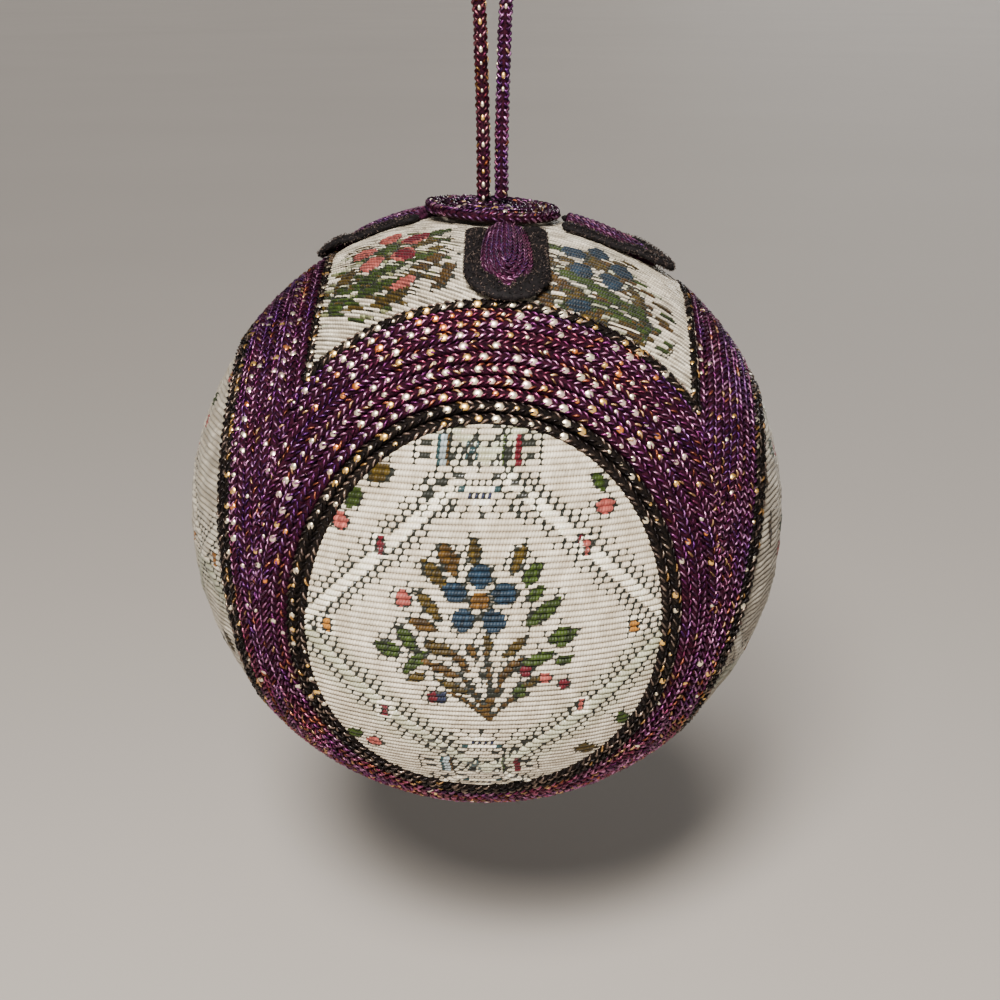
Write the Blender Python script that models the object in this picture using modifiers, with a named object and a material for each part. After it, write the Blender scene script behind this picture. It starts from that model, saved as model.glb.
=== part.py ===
"""Ball ornament: oval brocade patches ringed by rows of cord, with a cap, petals and a hanging loop.

Metres, +Z up, front towards -Y. The origin is the inside top of the hanging loop, where a peg or a
hook takes it. The ball's centre lies below it.
"""

import math

import bmesh
import bpy
from mathutils import Matrix, Vector

# Skins of the ball, as radii about its centre, and the thickness of what lies on it
BALL_RADIUS = 0.0380
SKIN_RADIUS = 0.0384
CLOTH_THICK = 0.0010
CORD_THICK = 0.0016
CORD_GROOVE = 0.0005
PATCH_CROWN = 0.0003
GAP = 0.0003
CLOTH_FACE = SKIN_RADIUS + CLOTH_THICK
BALL_SEGMENTS = 24
SHARP_EDGE = math.radians(60)
SAME_POINT = 0.000001

# The four sides, by longitude: 0 is the front and 90 the right
SIDES = (("front", 0.0), ("right", 90.0), ("back", 180.0), ("left", 270.0))

# Rings of cord round the oval patches, with angles measured at the ball's centre, in degrees
OVAL_HALF_WIDTH = 32.5
OVAL_ABOVE = 40.0
OVAL_BELOW = 37.0
OVAL_POWER = 2.1
OVAL_LATITUDE = -10.0
PATTERN_LEAN = 4.8
ROW_PITCH = 2.3
INNER_ROWS = 2
PURPLE_ROWS = 8
OUTER_ROWS = 1
RING_WIDTH = (INNER_ROWS + PURPLE_ROWS + OUTER_ROWS) * ROW_PITCH
RING_STATIONS = 40
# name, angle of its middle round the patch, half its span, sections along it
OUTER_ARCS = (("top", 90.0, 48.0, 14), ("low", -90.0, 32.0, 8))
WEDGE_SIZE = 0.12

# Cloth: shares of the way from the middle to the edge at which its grid has a ring of points. The end
# cloths reach to where the rings of cord begin, found by halving a span of degrees from the pole.
PATCH_SHARES = (0.3, 0.6, 0.85, 1.0)
CLOTH_SHARES = (0.2, 0.4, 0.6, 0.8, 1.0)
CLOTH_STATIONS = 48
WIDEST_CLOTH = 60.0
HALVINGS = 40

# The bottom cloth has a flat spot, on which the ball rests when it is set down
FLAT_DEPTH = 0.0395
FLAT_ANGLE = 6.0
BOTTOM_CROWN = 0.0397
BOTTOM_SHARES = (0.5, 0.75, 1.0)

# Cap: a flat spiral of cord, a little dished, that leans with the pattern
CAP_TURNS = 5
CAP_RADIUS = 0.0089
CAP_BASE = 0.03978
CAP_SAG = 0.0003
CAP_RIM_INSET = 0.0004
CAP_LEAN = 3.7
CAP_STEPS = 32

# Petals: a tongue of three strands, and a border of one cord round it, both from the cap's rim down
# name, longitude and latitude of the tongue's tip, lean to the right of its upper end
PETALS = (
    ("front", 6.0, 56.3, 6.0),
    ("right", 88.0, 56.3, 0.0),
    ("back", 176.0, 56.3, 0.0),
    ("left", 245.0, 56.3, 0.0),
)
TONGUE_HALF_WIDTH = 0.0029
TONGUE_SIDE = 0.0006
BORDER_CORD = 0.0018
BORDER_HALF_WIDTH = 0.00425
BORDER_BELOW_TIP = 0.0014
BORDER_CLIMB = 0.0007
BORDER_CLIMB_LENGTH = 0.0035
LEG_STEPS = 4
BEND_STEPS = 8
PETAL_REACH = 0.020

# Hanging loop: half its width, and height above the ball's centre, from its foot to its top
LOOP_CORD = 0.0019
LOOP_ROUTE = (
    (0.00117, 0.0418),
    (0.00117, 0.0450),
    (0.00122, 0.0510),
    (0.00145, 0.0590),
    (0.00177, 0.0665),
    (0.00300, 0.0722),
    (0.00430, 0.0774),
    (0.00304, 0.0804),
)
LOOP_TOP = 0.0817
LOOP_SPACING = 0.0022
CURVE_STEPS = 24
HANG_OFFSET = 0.0007

BALL_CENTRE = Vector((-HANG_OFFSET, 0.0, -(LOOP_TOP - LOOP_CORD / 2)))
PATTERN = Matrix.Rotation(math.radians(PATTERN_LEAN), 3, "Y")

# name: colour, roughness, metallic
FINISHES = {
    "foam": ((0.75, 0.72, 0.66), 0.9, 0.0),
    "brocade": ((0.78, 0.74, 0.64), 0.6, 0.0),
    "purple_cord": ((0.17, 0.05, 0.17), 0.4, 0.5),
    "black_cord": ((0.03, 0.03, 0.03), 0.4, 0.4),
}


def clear_scene():
    for old in list(bpy.data.objects):
        bpy.data.objects.remove(old, do_unlink=True)


def make_collection(name):
    collection = bpy.data.collections.new(name)
    bpy.context.scene.collection.children.link(collection)
    return collection


def make_finish(name, slot):
    colour, roughness, metallic = FINISHES[slot]
    finish = bpy.data.materials.new(name)
    finish.use_nodes = True
    shader = finish.node_tree.nodes["Principled BSDF"]
    shader.inputs["Base Color"].default_value = (*colour, 1.0)
    shader.inputs["Roughness"].default_value = roughness
    shader.inputs["Metallic"].default_value = metallic
    return finish


def add_piece(name, data, slot, parts):
    """Object about the ball's centre, with a finish of its own."""
    piece = bpy.data.objects.new(name, data)
    parts.objects.link(piece)
    piece.location = BALL_CENTRE
    data.materials.append(make_finish(name, slot))
    return piece


# Places on the ball

def direction(longitude, latitude):
    lon = math.radians(longitude)
    lat = math.radians(latitude)
    return Vector((math.cos(lat) * math.sin(lon), -math.cos(lat) * math.cos(lon), math.sin(lat)))


def tangents(longitude, latitude):
    """Unit vectors across the ball at a place, to its right and up."""
    return direction(longitude + 90.0, 0.0), direction(longitude, latitude + 90.0)


def step_from(longitude, latitude, angle, distance):
    """Direction reached from a place by going some degrees at an angle (radians) from its right."""
    right, up = tangents(longitude, latitude)
    heading = right * math.cos(angle) + up * math.sin(angle)
    reach = math.radians(distance)
    return direction(longitude, latitude) * math.cos(reach) + heading * math.sin(reach)


def in_degrees(length):
    return math.degrees(length / (SKIN_RADIUS + CORD_THICK / 2))


def last_true(test, near, far):
    """The furthest value from near towards far for which the test still holds."""
    for _ in range(HALVINGS):
        middle = (near + far) / 2
        if test(middle):
            near = middle
        else:
            far = middle
    return near


def oval(angle):
    """Degrees from a patch's middle to its edge, at an angle (radians) from its right."""
    height = OVAL_ABOVE if math.sin(angle) > 0 else OVAL_BELOW
    wide = abs(math.cos(angle) / OVAL_HALF_WIDTH) ** OVAL_POWER
    tall = abs(math.sin(angle) / height) ** OVAL_POWER
    return (wide + tall) ** (-1.0 / OVAL_POWER)


# Meshes

def loft(stations, closed_ring, closed_section):
    """Faces between sections of equally many points; an open run of sections gets two end faces."""
    mesh = bmesh.new()
    grid = [[mesh.verts.new(point) for point in section] for section in stations]
    followers = grid[1:] + grid[:1] if closed_ring else grid[1:]
    points = len(grid[0])
    for here, there in zip(grid, followers):
        for j in range(points if closed_section else points - 1):
            k = (j + 1) % points
            mesh.faces.new((here[j], here[k], there[k], there[j]))
    if not closed_ring:
        mesh.faces.new(grid[0])
        mesh.faces.new(grid[-1])
    return mesh


def keep_mesh(mesh, name):
    bmesh.ops.recalc_face_normals(mesh, faces=mesh.faces)
    data = bpy.data.meshes.new(name)
    mesh.to_mesh(data)
    mesh.free()
    data.shade_smooth()
    data.set_sharp_from_angle(angle=SHARP_EDGE)
    return data


def make_ball(parts):
    mesh = bmesh.new()
    bmesh.ops.create_uvsphere(mesh, u_segments=BALL_SEGMENTS, v_segments=BALL_SEGMENTS // 2, radius=BALL_RADIUS)
    add_piece("ball", keep_mesh(mesh, "ball"), "foam", parts)


# Rings of cord

def row_section(first_row, rows):
    """Closed section of neighbouring rows: pairs of (degrees out from the patch's edge, radius)."""
    crest = SKIN_RADIUS + CORD_THICK
    groove = crest - CORD_GROOVE
    margin = in_degrees(GAP) / 2
    start = first_row * ROW_PITCH + margin
    width = rows * ROW_PITCH - 2 * margin
    section = [(start, groove)]
    for row in range(rows):
        section.append((start + width * (row + 0.5) / rows, crest))
        section.append((start + width * (row + 1.0) / rows, groove))
    spans = max(1, rows // 2)
    for step in range(spans + 1):
        section.append((start + width * (1.0 - step / spans), SKIN_RADIUS))
    return section


def ring_mesh(name, side, first_row, rows, angles, closed):
    section = row_section(first_row, rows)
    stations = []
    for angle in angles:
        edge = oval(angle)
        stations.append([step_from(side, OVAL_LATITUDE, angle, edge + out) * radius for out, radius in section])
    mesh = loft(stations, closed, True)
    mesh.transform(PATTERN.to_4x4())
    return keep_mesh(mesh, name)


def full_ring(name, side, first_row, rows):
    angles = [math.tau * i / RING_STATIONS for i in range(RING_STATIONS)]
    return ring_mesh(name, side, first_row, rows, angles, True)


def ring_arc(name, side, first_row, rows, middle, half, count):
    angles = [math.radians(middle + half * (2 * i / (count - 1) - 1)) for i in range(count)]
    return ring_mesh(name, side, first_row, rows, angles, False)


def make_wedge(name, side, cutters):
    """The quarter of space before one patch, half a gap short of the mitres beside it."""
    mesh = bmesh.new()
    bmesh.ops.create_cube(mesh, size=WEDGE_SIZE)
    edge_on = Matrix.Rotation(math.radians(45), 4, "Z")
    setback = (WEDGE_SIZE + GAP) / math.sqrt(2)
    forward = Matrix.Translation((0.0, -setback, 0.0))
    facing = Matrix.Rotation(math.radians(side), 4, "Z")
    mesh.transform(PATTERN.to_4x4() @ facing @ forward @ edge_on)
    wedge = bpy.data.objects.new(name, bpy.data.meshes.new(name))
    mesh.to_mesh(wedge.data)
    mesh.free()
    cutters.objects.link(wedge)
    wedge.location = BALL_CENTRE
    wedge.hide_render = True
    wedge.display_type = "WIRE"
    return wedge


def cut_to(piece, wedge):
    mitre = piece.modifiers.new("mitre", "BOOLEAN")
    mitre.operation = "INTERSECT"
    mitre.solver = "EXACT"
    mitre.object = wedge


def make_rings(parts, cutters):
    outer_row = INNER_ROWS + PURPLE_ROWS
    for label, side in SIDES:
        wedge = make_wedge("mitre_" + label, side, cutters)
        name = "inner_" + label
        add_piece(name, full_ring(name, side, 0, INNER_ROWS), "black_cord", parts)
        name = "purple_" + label
        cut_to(add_piece(name, full_ring(name, side, INNER_ROWS, PURPLE_ROWS), "purple_cord", parts), wedge)
        for where, middle, half, count in OUTER_ARCS:
            name = "outer_%s_%s" % (where, label)
            arc = ring_arc(name, side, outer_row, OUTER_ROWS, middle, half, count)
            cut_to(add_piece(name, arc, "black_cord", parts), wedge)


# Cloth

def add_cloth(name, middle, rings, parts):
    """Cloth from a middle point and the rings of points round it, given thickness inwards."""
    mesh = bmesh.new()
    hub = mesh.verts.new(middle)
    grid = [[mesh.verts.new(point) for point in ring] for ring in rings]
    count = len(rings[0])
    for j in range(count):
        k = (j + 1) % count
        mesh.faces.new((hub, grid[0][j], grid[0][k]))
        for inner, outer in zip(grid, grid[1:]):
            mesh.faces.new((inner[j], outer[j], outer[k], inner[k]))
    mesh.normal_update()
    if hub.normal.dot(hub.co) < 0:
        bmesh.ops.reverse_faces(mesh, faces=mesh.faces)
    data = bpy.data.meshes.new(name)
    mesh.to_mesh(data)
    mesh.free()
    data.shade_smooth()
    shell = add_piece(name, data, "brocade", parts).modifiers.new("thickness", "SOLIDIFY")
    shell.thickness = CLOTH_THICK
    shell.offset = -1.0


def make_patches(parts):
    margin = in_degrees(GAP) / 2
    angles = [math.tau * i / RING_STATIONS for i in range(RING_STATIONS)]
    for label, side in SIDES:
        rings = []
        for share in PATCH_SHARES:
            radius = CLOTH_FACE + PATCH_CROWN * (1.0 - share ** 2)
            reaches = [share * (oval(angle) - margin) for angle in angles]
            places = [step_from(side, OVAL_LATITUDE, angle, reach) for angle, reach in zip(angles, reaches)]
            rings.append([PATTERN @ place * radius for place in places])
        middle = PATTERN @ direction(side, OVAL_LATITUDE) * (CLOTH_FACE + PATCH_CROWN)
        add_cloth("patch_" + label, middle, rings, parts)


def beyond_rings(place):
    """Degrees by which a direction, in the pattern's own frame, lies outside every ring of cord."""
    least = math.inf
    for _, side in SIDES:
        right, up = tangents(side, OVAL_LATITUDE)
        distance = math.degrees(place.angle(direction(side, OVAL_LATITUDE)))
        angle = math.atan2(place.dot(up), place.dot(right))
        least = min(least, distance - oval(angle) - RING_WIDTH)
    return least


def cloth_edges(pole):
    """Directions, round the pattern's upper (90) or lower (-90) pole, to the edge of the rings."""
    edges = []
    for i in range(CLOTH_STATIONS):
        longitude = 360.0 * i / CLOTH_STATIONS

        def is_open(colatitude):
            latitude = math.copysign(90.0 - colatitude, pole)
            return beyond_rings(direction(longitude, latitude)) > in_degrees(GAP)

        latitude = math.copysign(90.0 - last_true(is_open, 0.0, WIDEST_CLOTH), pole)
        edges.append(PATTERN @ direction(longitude, latitude))
    return edges


def make_end_cloths(parts):
    pole = PATTERN @ Vector((0.0, 0.0, 1.0))
    edges = cloth_edges(90.0)
    rings = [[pole.slerp(edge, share) * CLOTH_FACE for edge in edges] for share in CLOTH_SHARES]
    add_cloth("cloth_top", pole * CLOTH_FACE, rings, parts)

    down = Vector((0.0, 0.0, -1.0))
    edges = cloth_edges(-90.0)
    flat = math.radians(FLAT_ANGLE)
    rings = [[down.slerp(edge, flat / down.angle(edge)) * (FLAT_DEPTH / math.cos(flat)) for edge in edges]]
    for share in BOTTOM_SHARES:
        radius = BOTTOM_CROWN + (CLOTH_FACE - BOTTOM_CROWN) * share ** 2
        rings.append([down.slerp(edge, share) * radius for edge in edges])
    add_cloth("cloth_bottom", down * FLAT_DEPTH, rings, parts)


# Cap and petals

def make_cap(parts):
    turn = CAP_RADIUS / CAP_TURNS
    outline = [(0.0, CORD_THICK)]
    for count in range(CAP_TURNS):
        outline.append((turn * (count + 0.5), CORD_THICK))
        outline.append((turn * (count + 1.0), CORD_THICK - CORD_GROOVE))
    outline[-1] = (CAP_RADIUS, CORD_THICK / 2)
    outline += [(CAP_RADIUS - CAP_RIM_INSET, 0.0), (CAP_RADIUS / 2, 0.0), (0.0, 0.0)]
    points = [(x, 0.0, z - CAP_SAG * (x / CAP_RADIUS) ** 2) for x, z in outline]
    data = bpy.data.meshes.new("cap")
    data.from_pydata(points, [(i, i + 1) for i in range(len(points) - 1)], [])
    cap = add_piece("cap", data, "purple_cord", parts)
    cap.location = BALL_CENTRE + Vector((HANG_OFFSET, 0.0, CAP_BASE))
    cap.rotation_euler = (0.0, math.radians(CAP_LEAN), 0.0)
    turned = cap.modifiers.new("turned", "SCREW")
    turned.steps = CAP_STEPS
    turned.render_steps = CAP_STEPS
    turned.use_merge_vertices = True
    turned.merge_threshold = SAME_POINT


def petal_place(petal, across, along):
    """Direction at some metres across a petal and along it from its tongue's tip."""
    _, longitude, latitude, lean = petal
    distance = in_degrees(math.hypot(across, along))
    return step_from(longitude, latitude, math.atan2(along, across) - math.radians(lean), distance)


def petal_top(petal, across):
    """How far along a petal the cap's rim lets it go."""
    petal_base = CLOTH_FACE + GAP

    def is_clear(along):
        place = petal_place(petal, across, along) * petal_base
        return math.hypot(place.x - HANG_OFFSET, place.y) > CAP_RADIUS + 2 * GAP

    return last_true(is_clear, 0.0, PETAL_REACH)


def u_turn(half_width, tops, bend_height):
    """Points (across, along) down the left leg, round a half circle and up the right leg."""
    left_top, right_top = tops
    points = []
    for i in range(LEG_STEPS):
        points.append((-half_width, left_top + (bend_height - left_top) * i / LEG_STEPS))
    for i in range(BEND_STEPS + 1):
        angle = math.pi * (1.0 + i / BEND_STEPS)
        points.append((half_width * math.cos(angle), bend_height + half_width * math.sin(angle)))
    for i in range(1, LEG_STEPS + 1):
        points.append((half_width, bend_height + (right_top - bend_height) * i / LEG_STEPS))
    return points


def tongue_mesh(name, petal):
    base = CLOTH_FACE + GAP
    strand = TONGUE_HALF_WIDTH * 2 / 3
    crest = base + CORD_THICK
    section = (
        (0.0, base),
        (TONGUE_HALF_WIDTH, base),
        (TONGUE_HALF_WIDTH, base + TONGUE_SIDE),
        (TONGUE_HALF_WIDTH - strand / 2, crest),
        (strand / 2, crest - CORD_GROOVE),
        (0.0, crest),
    )
    tops = (petal_top(petal, 0.0), petal_top(petal, 0.0))
    lines = []
    for half_width, radius in section:
        path = u_turn(half_width, tops, TONGUE_HALF_WIDTH)
        lines.append([petal_place(petal, across, along) * radius for across, along in path])
    mesh = loft(list(zip(*lines)), False, False)
    bmesh.ops.remove_doubles(mesh, verts=mesh.verts, dist=SAME_POINT)
    return keep_mesh(mesh, name)


def add_tube(name, points, diameter, slot, parts):
    curve = bpy.data.curves.new(name, "CURVE")
    curve.dimensions = "3D"
    curve.bevel_depth = diameter / 2
    curve.bevel_resolution = 2
    curve.use_fill_caps = True
    spline = curve.splines.new("POLY")
    spline.points.add(len(points) - 1)
    for spot, point in zip(spline.points, points):
        spot.co = (*point, 1.0)
    return add_piece(name, curve, slot, parts)


def border_points(petal):
    """Route of a petal's border, which climbs over the ring of cord below the tongue's tip."""
    low = CLOTH_FACE + GAP + BORDER_CORD / 2
    bend = BORDER_HALF_WIDTH - BORDER_BELOW_TIP
    inner_side = BORDER_HALF_WIDTH - BORDER_CORD / 2
    tops = (petal_top(petal, -inner_side), petal_top(petal, inner_side))
    points = []
    for across, along in u_turn(BORDER_HALF_WIDTH, tops, bend):
        share = min(max(1.0 - (along - bend) / BORDER_CLIMB_LENGTH, 0.0), 1.0)
        climb = BORDER_CLIMB * share * share * (3.0 - 2.0 * share)
        points.append(petal_place(petal, across, along) * (low + climb))
    return points


def make_petals(parts):
    for petal in PETALS:
        label = petal[0]
        add_piece("petal_" + label, tongue_mesh("petal_" + label, petal), "purple_cord", parts)
        add_tube("border_" + label, border_points(petal), BORDER_CORD, "black_cord", parts)


# Hanging loop

def smooth_through(route):
    """Close points on a smooth curve that passes through every point of a route."""
    dense = []
    last = len(route) - 1
    for i in range(last):
        before, here, there, after = route[max(i - 1, 0)], route[i], route[i + 1], route[min(i + 2, last)]
        for step in range(CURVE_STEPS):
            t = step / CURVE_STEPS
            slope = there - before
            bend = before * 2 - here * 5 + there * 4 - after
            twist = here * 3 - before - there * 3 + after
            dense.append(here + (slope + bend * t + twist * t * t) * t / 2)
    return dense + [route[-1]]


def even_points(dense, spacing):
    """Points at even distances along a close row of points, with both ends kept."""
    travelled = [0.0]
    for here, there in zip(dense, dense[1:]):
        travelled.append(travelled[-1] + (there - here).length)
    count = round(travelled[-1] / spacing)
    points = []
    i = 0
    for k in range(count + 1):
        target = travelled[-1] * k / count
        while i < len(dense) - 2 and travelled[i + 1] < target:
            i += 1
        share = (target - travelled[i]) / (travelled[i + 1] - travelled[i])
        points.append(dense[i].lerp(dense[i + 1], share))
    return points


def make_loop(parts):
    up = [Vector((-half, 0.0, height)) for half, height in LOOP_ROUTE]
    down = [Vector((half, 0.0, height)) for half, height in reversed(LOOP_ROUTE)]
    route = up + [Vector((0.0, 0.0, LOOP_TOP))] + down
    shift = Vector((HANG_OFFSET, 0.0, 0.0))
    points = [point + shift for point in even_points(smooth_through(route), LOOP_SPACING)]
    add_tube("loop", points, LOOP_CORD, "purple_cord", parts)


def main():
    clear_scene()
    parts = make_collection("ball_ornament")
    cutters = make_collection("cutters")
    make_ball(parts)
    make_rings(parts, cutters)
    make_patches(parts)
    make_end_cloths(parts)
    make_cap(parts)
    make_petals(parts)
    make_loop(parts)


main()
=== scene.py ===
"""Looks of a ball ornament: flowered brocade, rows of knitted metallic cord, petals, cap and loop.

Metres, +Z up, front towards -Y, in the frame of the solids. Places on the cloth are in millimetres of
its own surface, across (u) and up (v).
"""

import math

import bpy
import numpy as np
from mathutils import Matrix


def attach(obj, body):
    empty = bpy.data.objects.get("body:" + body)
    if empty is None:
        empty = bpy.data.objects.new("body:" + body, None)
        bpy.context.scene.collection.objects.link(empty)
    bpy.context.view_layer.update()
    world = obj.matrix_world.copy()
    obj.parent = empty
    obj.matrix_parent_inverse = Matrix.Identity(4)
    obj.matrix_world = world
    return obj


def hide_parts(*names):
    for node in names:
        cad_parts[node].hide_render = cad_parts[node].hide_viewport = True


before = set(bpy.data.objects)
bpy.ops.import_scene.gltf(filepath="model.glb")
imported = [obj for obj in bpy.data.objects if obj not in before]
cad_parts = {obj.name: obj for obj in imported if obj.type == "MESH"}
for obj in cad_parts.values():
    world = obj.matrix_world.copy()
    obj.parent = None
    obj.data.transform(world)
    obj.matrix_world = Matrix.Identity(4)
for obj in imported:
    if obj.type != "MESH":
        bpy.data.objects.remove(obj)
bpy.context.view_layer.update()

# Sizes shared with the solids
MM = 0.001
SKIN_RADIUS = 0.0384
CORD_THICK = 0.0016
PATCH_CROWN = 0.0003
GAP = 0.0003
CLOTH_FACE = 0.0394
SIDES = (("front", 0.0), ("right", 90.0), ("back", 180.0), ("left", 270.0))
OVAL_HALF_WIDTH = 32.5
OVAL_ABOVE = 40.0
OVAL_BELOW = 37.0
OVAL_POWER = 2.1
OVAL_LATITUDE = -10.0
PATTERN_LEAN = 4.8
ROW_PITCH = 2.3
INNER_ROWS = 2
PURPLE_ROWS = 8
ROWS = 11
RING_WIDTH = ROWS * ROW_PITCH
OUTER_ARCS = (("top", 90.0, 48.0), ("low", -90.0, 32.0))
FLAT_DEPTH = 0.0395
FLAT_ANGLE = 6.0
BOTTOM_CROWN = 0.0397
WIDEST_CLOTH = 60.0
CAP_TURNS = 5
CAP_RADIUS = 0.0089
CAP_BASE = 0.03978
CAP_SAG = 0.0003
CAP_LEAN = 3.7
HANG_OFFSET = 0.0007

# name, longitude and latitude of the tongue's tip, lean to the right of its upper end
PETALS = (
    ("front", 6.0, 56.3, 6.0),
    ("right", 88.0, 56.3, 0.0),
    ("back", 176.0, 56.3, 0.0),
    ("left", 245.0, 56.3, 0.0),
)
TONGUE_HALF_WIDTH = 0.0029
BORDER_CORD = 0.0018
BORDER_HALF_WIDTH = 0.00425
BORDER_BELOW_TIP = 0.0014
BORDER_CLIMB = 0.0007
BORDER_CLIMB_LENGTH = 0.0035
PETAL_REACH = 0.020

# Hanging loop: half its width, and height above the ball's centre, from its foot to its top
LOOP_CORD = 0.0019
LOOP_ROUTE = (
    (0.00117, 0.0418),
    (0.00117, 0.0450),
    (0.00122, 0.0510),
    (0.00145, 0.0590),
    (0.00177, 0.0665),
    (0.00300, 0.0722),
    (0.00430, 0.0774),
    (0.00304, 0.0804),
)
LOOP_TOP = 0.0817
LOOP_SPACING = 0.0022
CURVE_STEPS = 24

BALL_CENTRE = np.array([-HANG_OFFSET, 0.0, -(LOOP_TOP - LOOP_CORD / 2)])
UP = np.array([0.0, 0.0, 1.0])

# Camera, as the photograph was taken: distance and height angle from the ball's centre
CAMERA_DISTANCE = 0.248
CAMERA_ANGLE = 16.4
CAMERA_LENS = 65.4
CAMERA_SHIFT = (0.013, 0.006)

# Way from the ball that the bright turns of foil on its front face
FRONT_WAY = np.array([-0.066, -0.92, 0.383])


# Small vector helpers, on arrays of points

def unit(vectors):
    return vectors / np.maximum(np.linalg.norm(vectors, axis=-1, keepdims=True), 1e-12)


def smooth(low, high, values):
    share = np.clip((values - low) / (high - low), 0.0, 1.0)
    return share * share * (3.0 - 2.0 * share)


def srgb(*colour):
    """Linear colour from the usual 0 to 255 levels."""
    levels = np.array(colour, dtype=float) / 255.0
    return np.where(levels <= 0.04045, levels / 12.92, ((levels + 0.055) / 1.055) ** 2.4)


def turn_about_y(degrees):
    c = math.cos(math.radians(degrees))
    s = math.sin(math.radians(degrees))
    return np.array([[c, 0.0, s], [0.0, 1.0, 0.0], [-s, 0.0, c]])


PATTERN = turn_about_y(PATTERN_LEAN)


# Places on the ball, as on the solids

def direction(longitude, latitude):
    lon = np.radians(longitude)
    lat = np.radians(latitude)
    return np.stack(np.broadcast_arrays(np.cos(lat) * np.sin(lon), -np.cos(lat) * np.cos(lon), np.sin(lat)), -1)


def step_from(longitude, latitude, angle, distance):
    """Direction reached from a place by going some degrees at an angle (radians) from its right."""
    right = direction(longitude + 90.0, 0.0)
    up = direction(longitude, latitude + 90.0)
    heading = right * np.cos(angle)[..., None] + up * np.sin(angle)[..., None]
    reach = np.radians(distance)[..., None]
    return direction(longitude, latitude) * np.cos(reach) + heading * np.sin(reach)


def in_degrees(length):
    return np.degrees(length / (SKIN_RADIUS + CORD_THICK / 2))


def oval(angle):
    height = np.where(np.sin(angle) > 0, OVAL_ABOVE, OVAL_BELOW)
    wide = np.abs(np.cos(angle) / OVAL_HALF_WIDTH) ** OVAL_POWER
    tall = np.abs(np.sin(angle) / height) ** OVAL_POWER
    return (wide + tall) ** (-1.0 / OVAL_POWER)


def outside_oval(places, side):
    """Degrees by which directions, in the pattern's own frame, lie outside a side's patch, and the share."""
    middle = direction(side, OVAL_LATITUDE)
    right = direction(side + 90.0, 0.0)
    up = direction(side, OVAL_LATITUDE + 90.0)
    distance = np.degrees(np.arccos(np.clip(places @ middle, -1.0, 1.0)))
    reach = oval(np.arctan2(places @ up, places @ right))
    return distance - reach, distance / reach


def smooth_through(route, steps=CURVE_STEPS):
    """Close points on a smooth curve that passes through every point of a route."""
    dense = []
    last = len(route) - 1
    shares = (np.arange(steps) / steps)[:, None]
    for i in range(last):
        before, here, there, after = route[max(i - 1, 0)], route[i], route[i + 1], route[min(i + 2, last)]
        slope = there - before
        bend = before * 2 - here * 5 + there * 4 - after
        twist = here * 3 - before - there * 3 + after
        dense.append(here + (slope + bend * shares + twist * shares ** 2) * shares / 2)
    return np.concatenate(dense + [route[-1:]])


class Route:
    """A line that can be read at any distance along it, with the way out from what it lies on."""

    def __init__(self, points, outs, closed=False):
        if closed:
            points = np.concatenate([points, points[:1]])
            outs = np.concatenate([outs, outs[:1]])
        self.closed = closed
        self.points = points
        self.outs = outs
        self.travelled = np.concatenate([[0.0], np.cumsum(np.linalg.norm(np.diff(points, axis=0), axis=1))])
        self.length = self.travelled[-1]
        slopes = np.diff(points, axis=0)
        if closed:
            slopes = (np.concatenate([slopes, slopes[:1]]) + np.concatenate([slopes[-1:], slopes])) / 2
        else:
            slopes = (np.concatenate([slopes, slopes[-1:]]) + np.concatenate([slopes[:1], slopes])) / 2
        self.alongs = unit(slopes)

    def read(self, values, distances):
        if self.closed:
            distances = distances % self.length
        return np.stack([np.interp(distances, self.travelled, values[:, k]) for k in range(3)], -1)

    def at(self, distances):
        """Points, ways along, ways across and ways out at some distances."""
        along = unit(self.read(self.alongs, distances))
        out = self.read(self.outs, distances)
        across = unit(np.cross(along, out))
        return self.read(self.points, distances), along, across, np.cross(across, along)


# Meshes gathered from arrays

class Batch:
    """Points and faces for one mesh, with a colour for each point and a finish number for each face."""

    def __init__(self):
        self.points = []
        self.colours = []
        self.faces = []
        self.finishes = []
        self.count = 0

    def add(self, points, faces, colours, finish=0):
        shape = points.shape[:-1] + (3,)
        flat = points.reshape(-1, 3)
        self.points.append(flat)
        self.colours.append(np.broadcast_to(colours, shape).reshape(-1, 3))
        for some in faces:
            self.faces.append(some.reshape(-1, some.shape[-1]) + self.count)
            self.finishes.append(np.full(len(self.faces[-1]), finish))
        self.count += len(flat)

    def mesh(self, name, materials):
        mesh = bpy.data.meshes.new(name)
        points = np.concatenate(self.points)
        mesh.vertices.add(len(points))
        mesh.vertices.foreach_set("co", points.ravel())
        sizes = np.concatenate([np.full(len(some), some.shape[1]) for some in self.faces])
        loops = np.concatenate([some.ravel() for some in self.faces])
        mesh.loops.add(len(loops))
        mesh.loops.foreach_set("vertex_index", loops)
        mesh.polygons.add(len(sizes))
        mesh.polygons.foreach_set("loop_start", np.cumsum(sizes) - sizes)
        mesh.polygons.foreach_set("material_index", np.concatenate(self.finishes))
        for material in materials:
            mesh.materials.append(material)
        tint = mesh.color_attributes.new("thread", "FLOAT_COLOR", "POINT")
        colours = np.concatenate(self.colours)
        tint.data.foreach_set("color", np.concatenate([colours, np.ones((len(colours), 1))], 1).ravel())
        mesh.update(calc_edges=True)
        mesh.shade_smooth()
        return mesh


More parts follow.
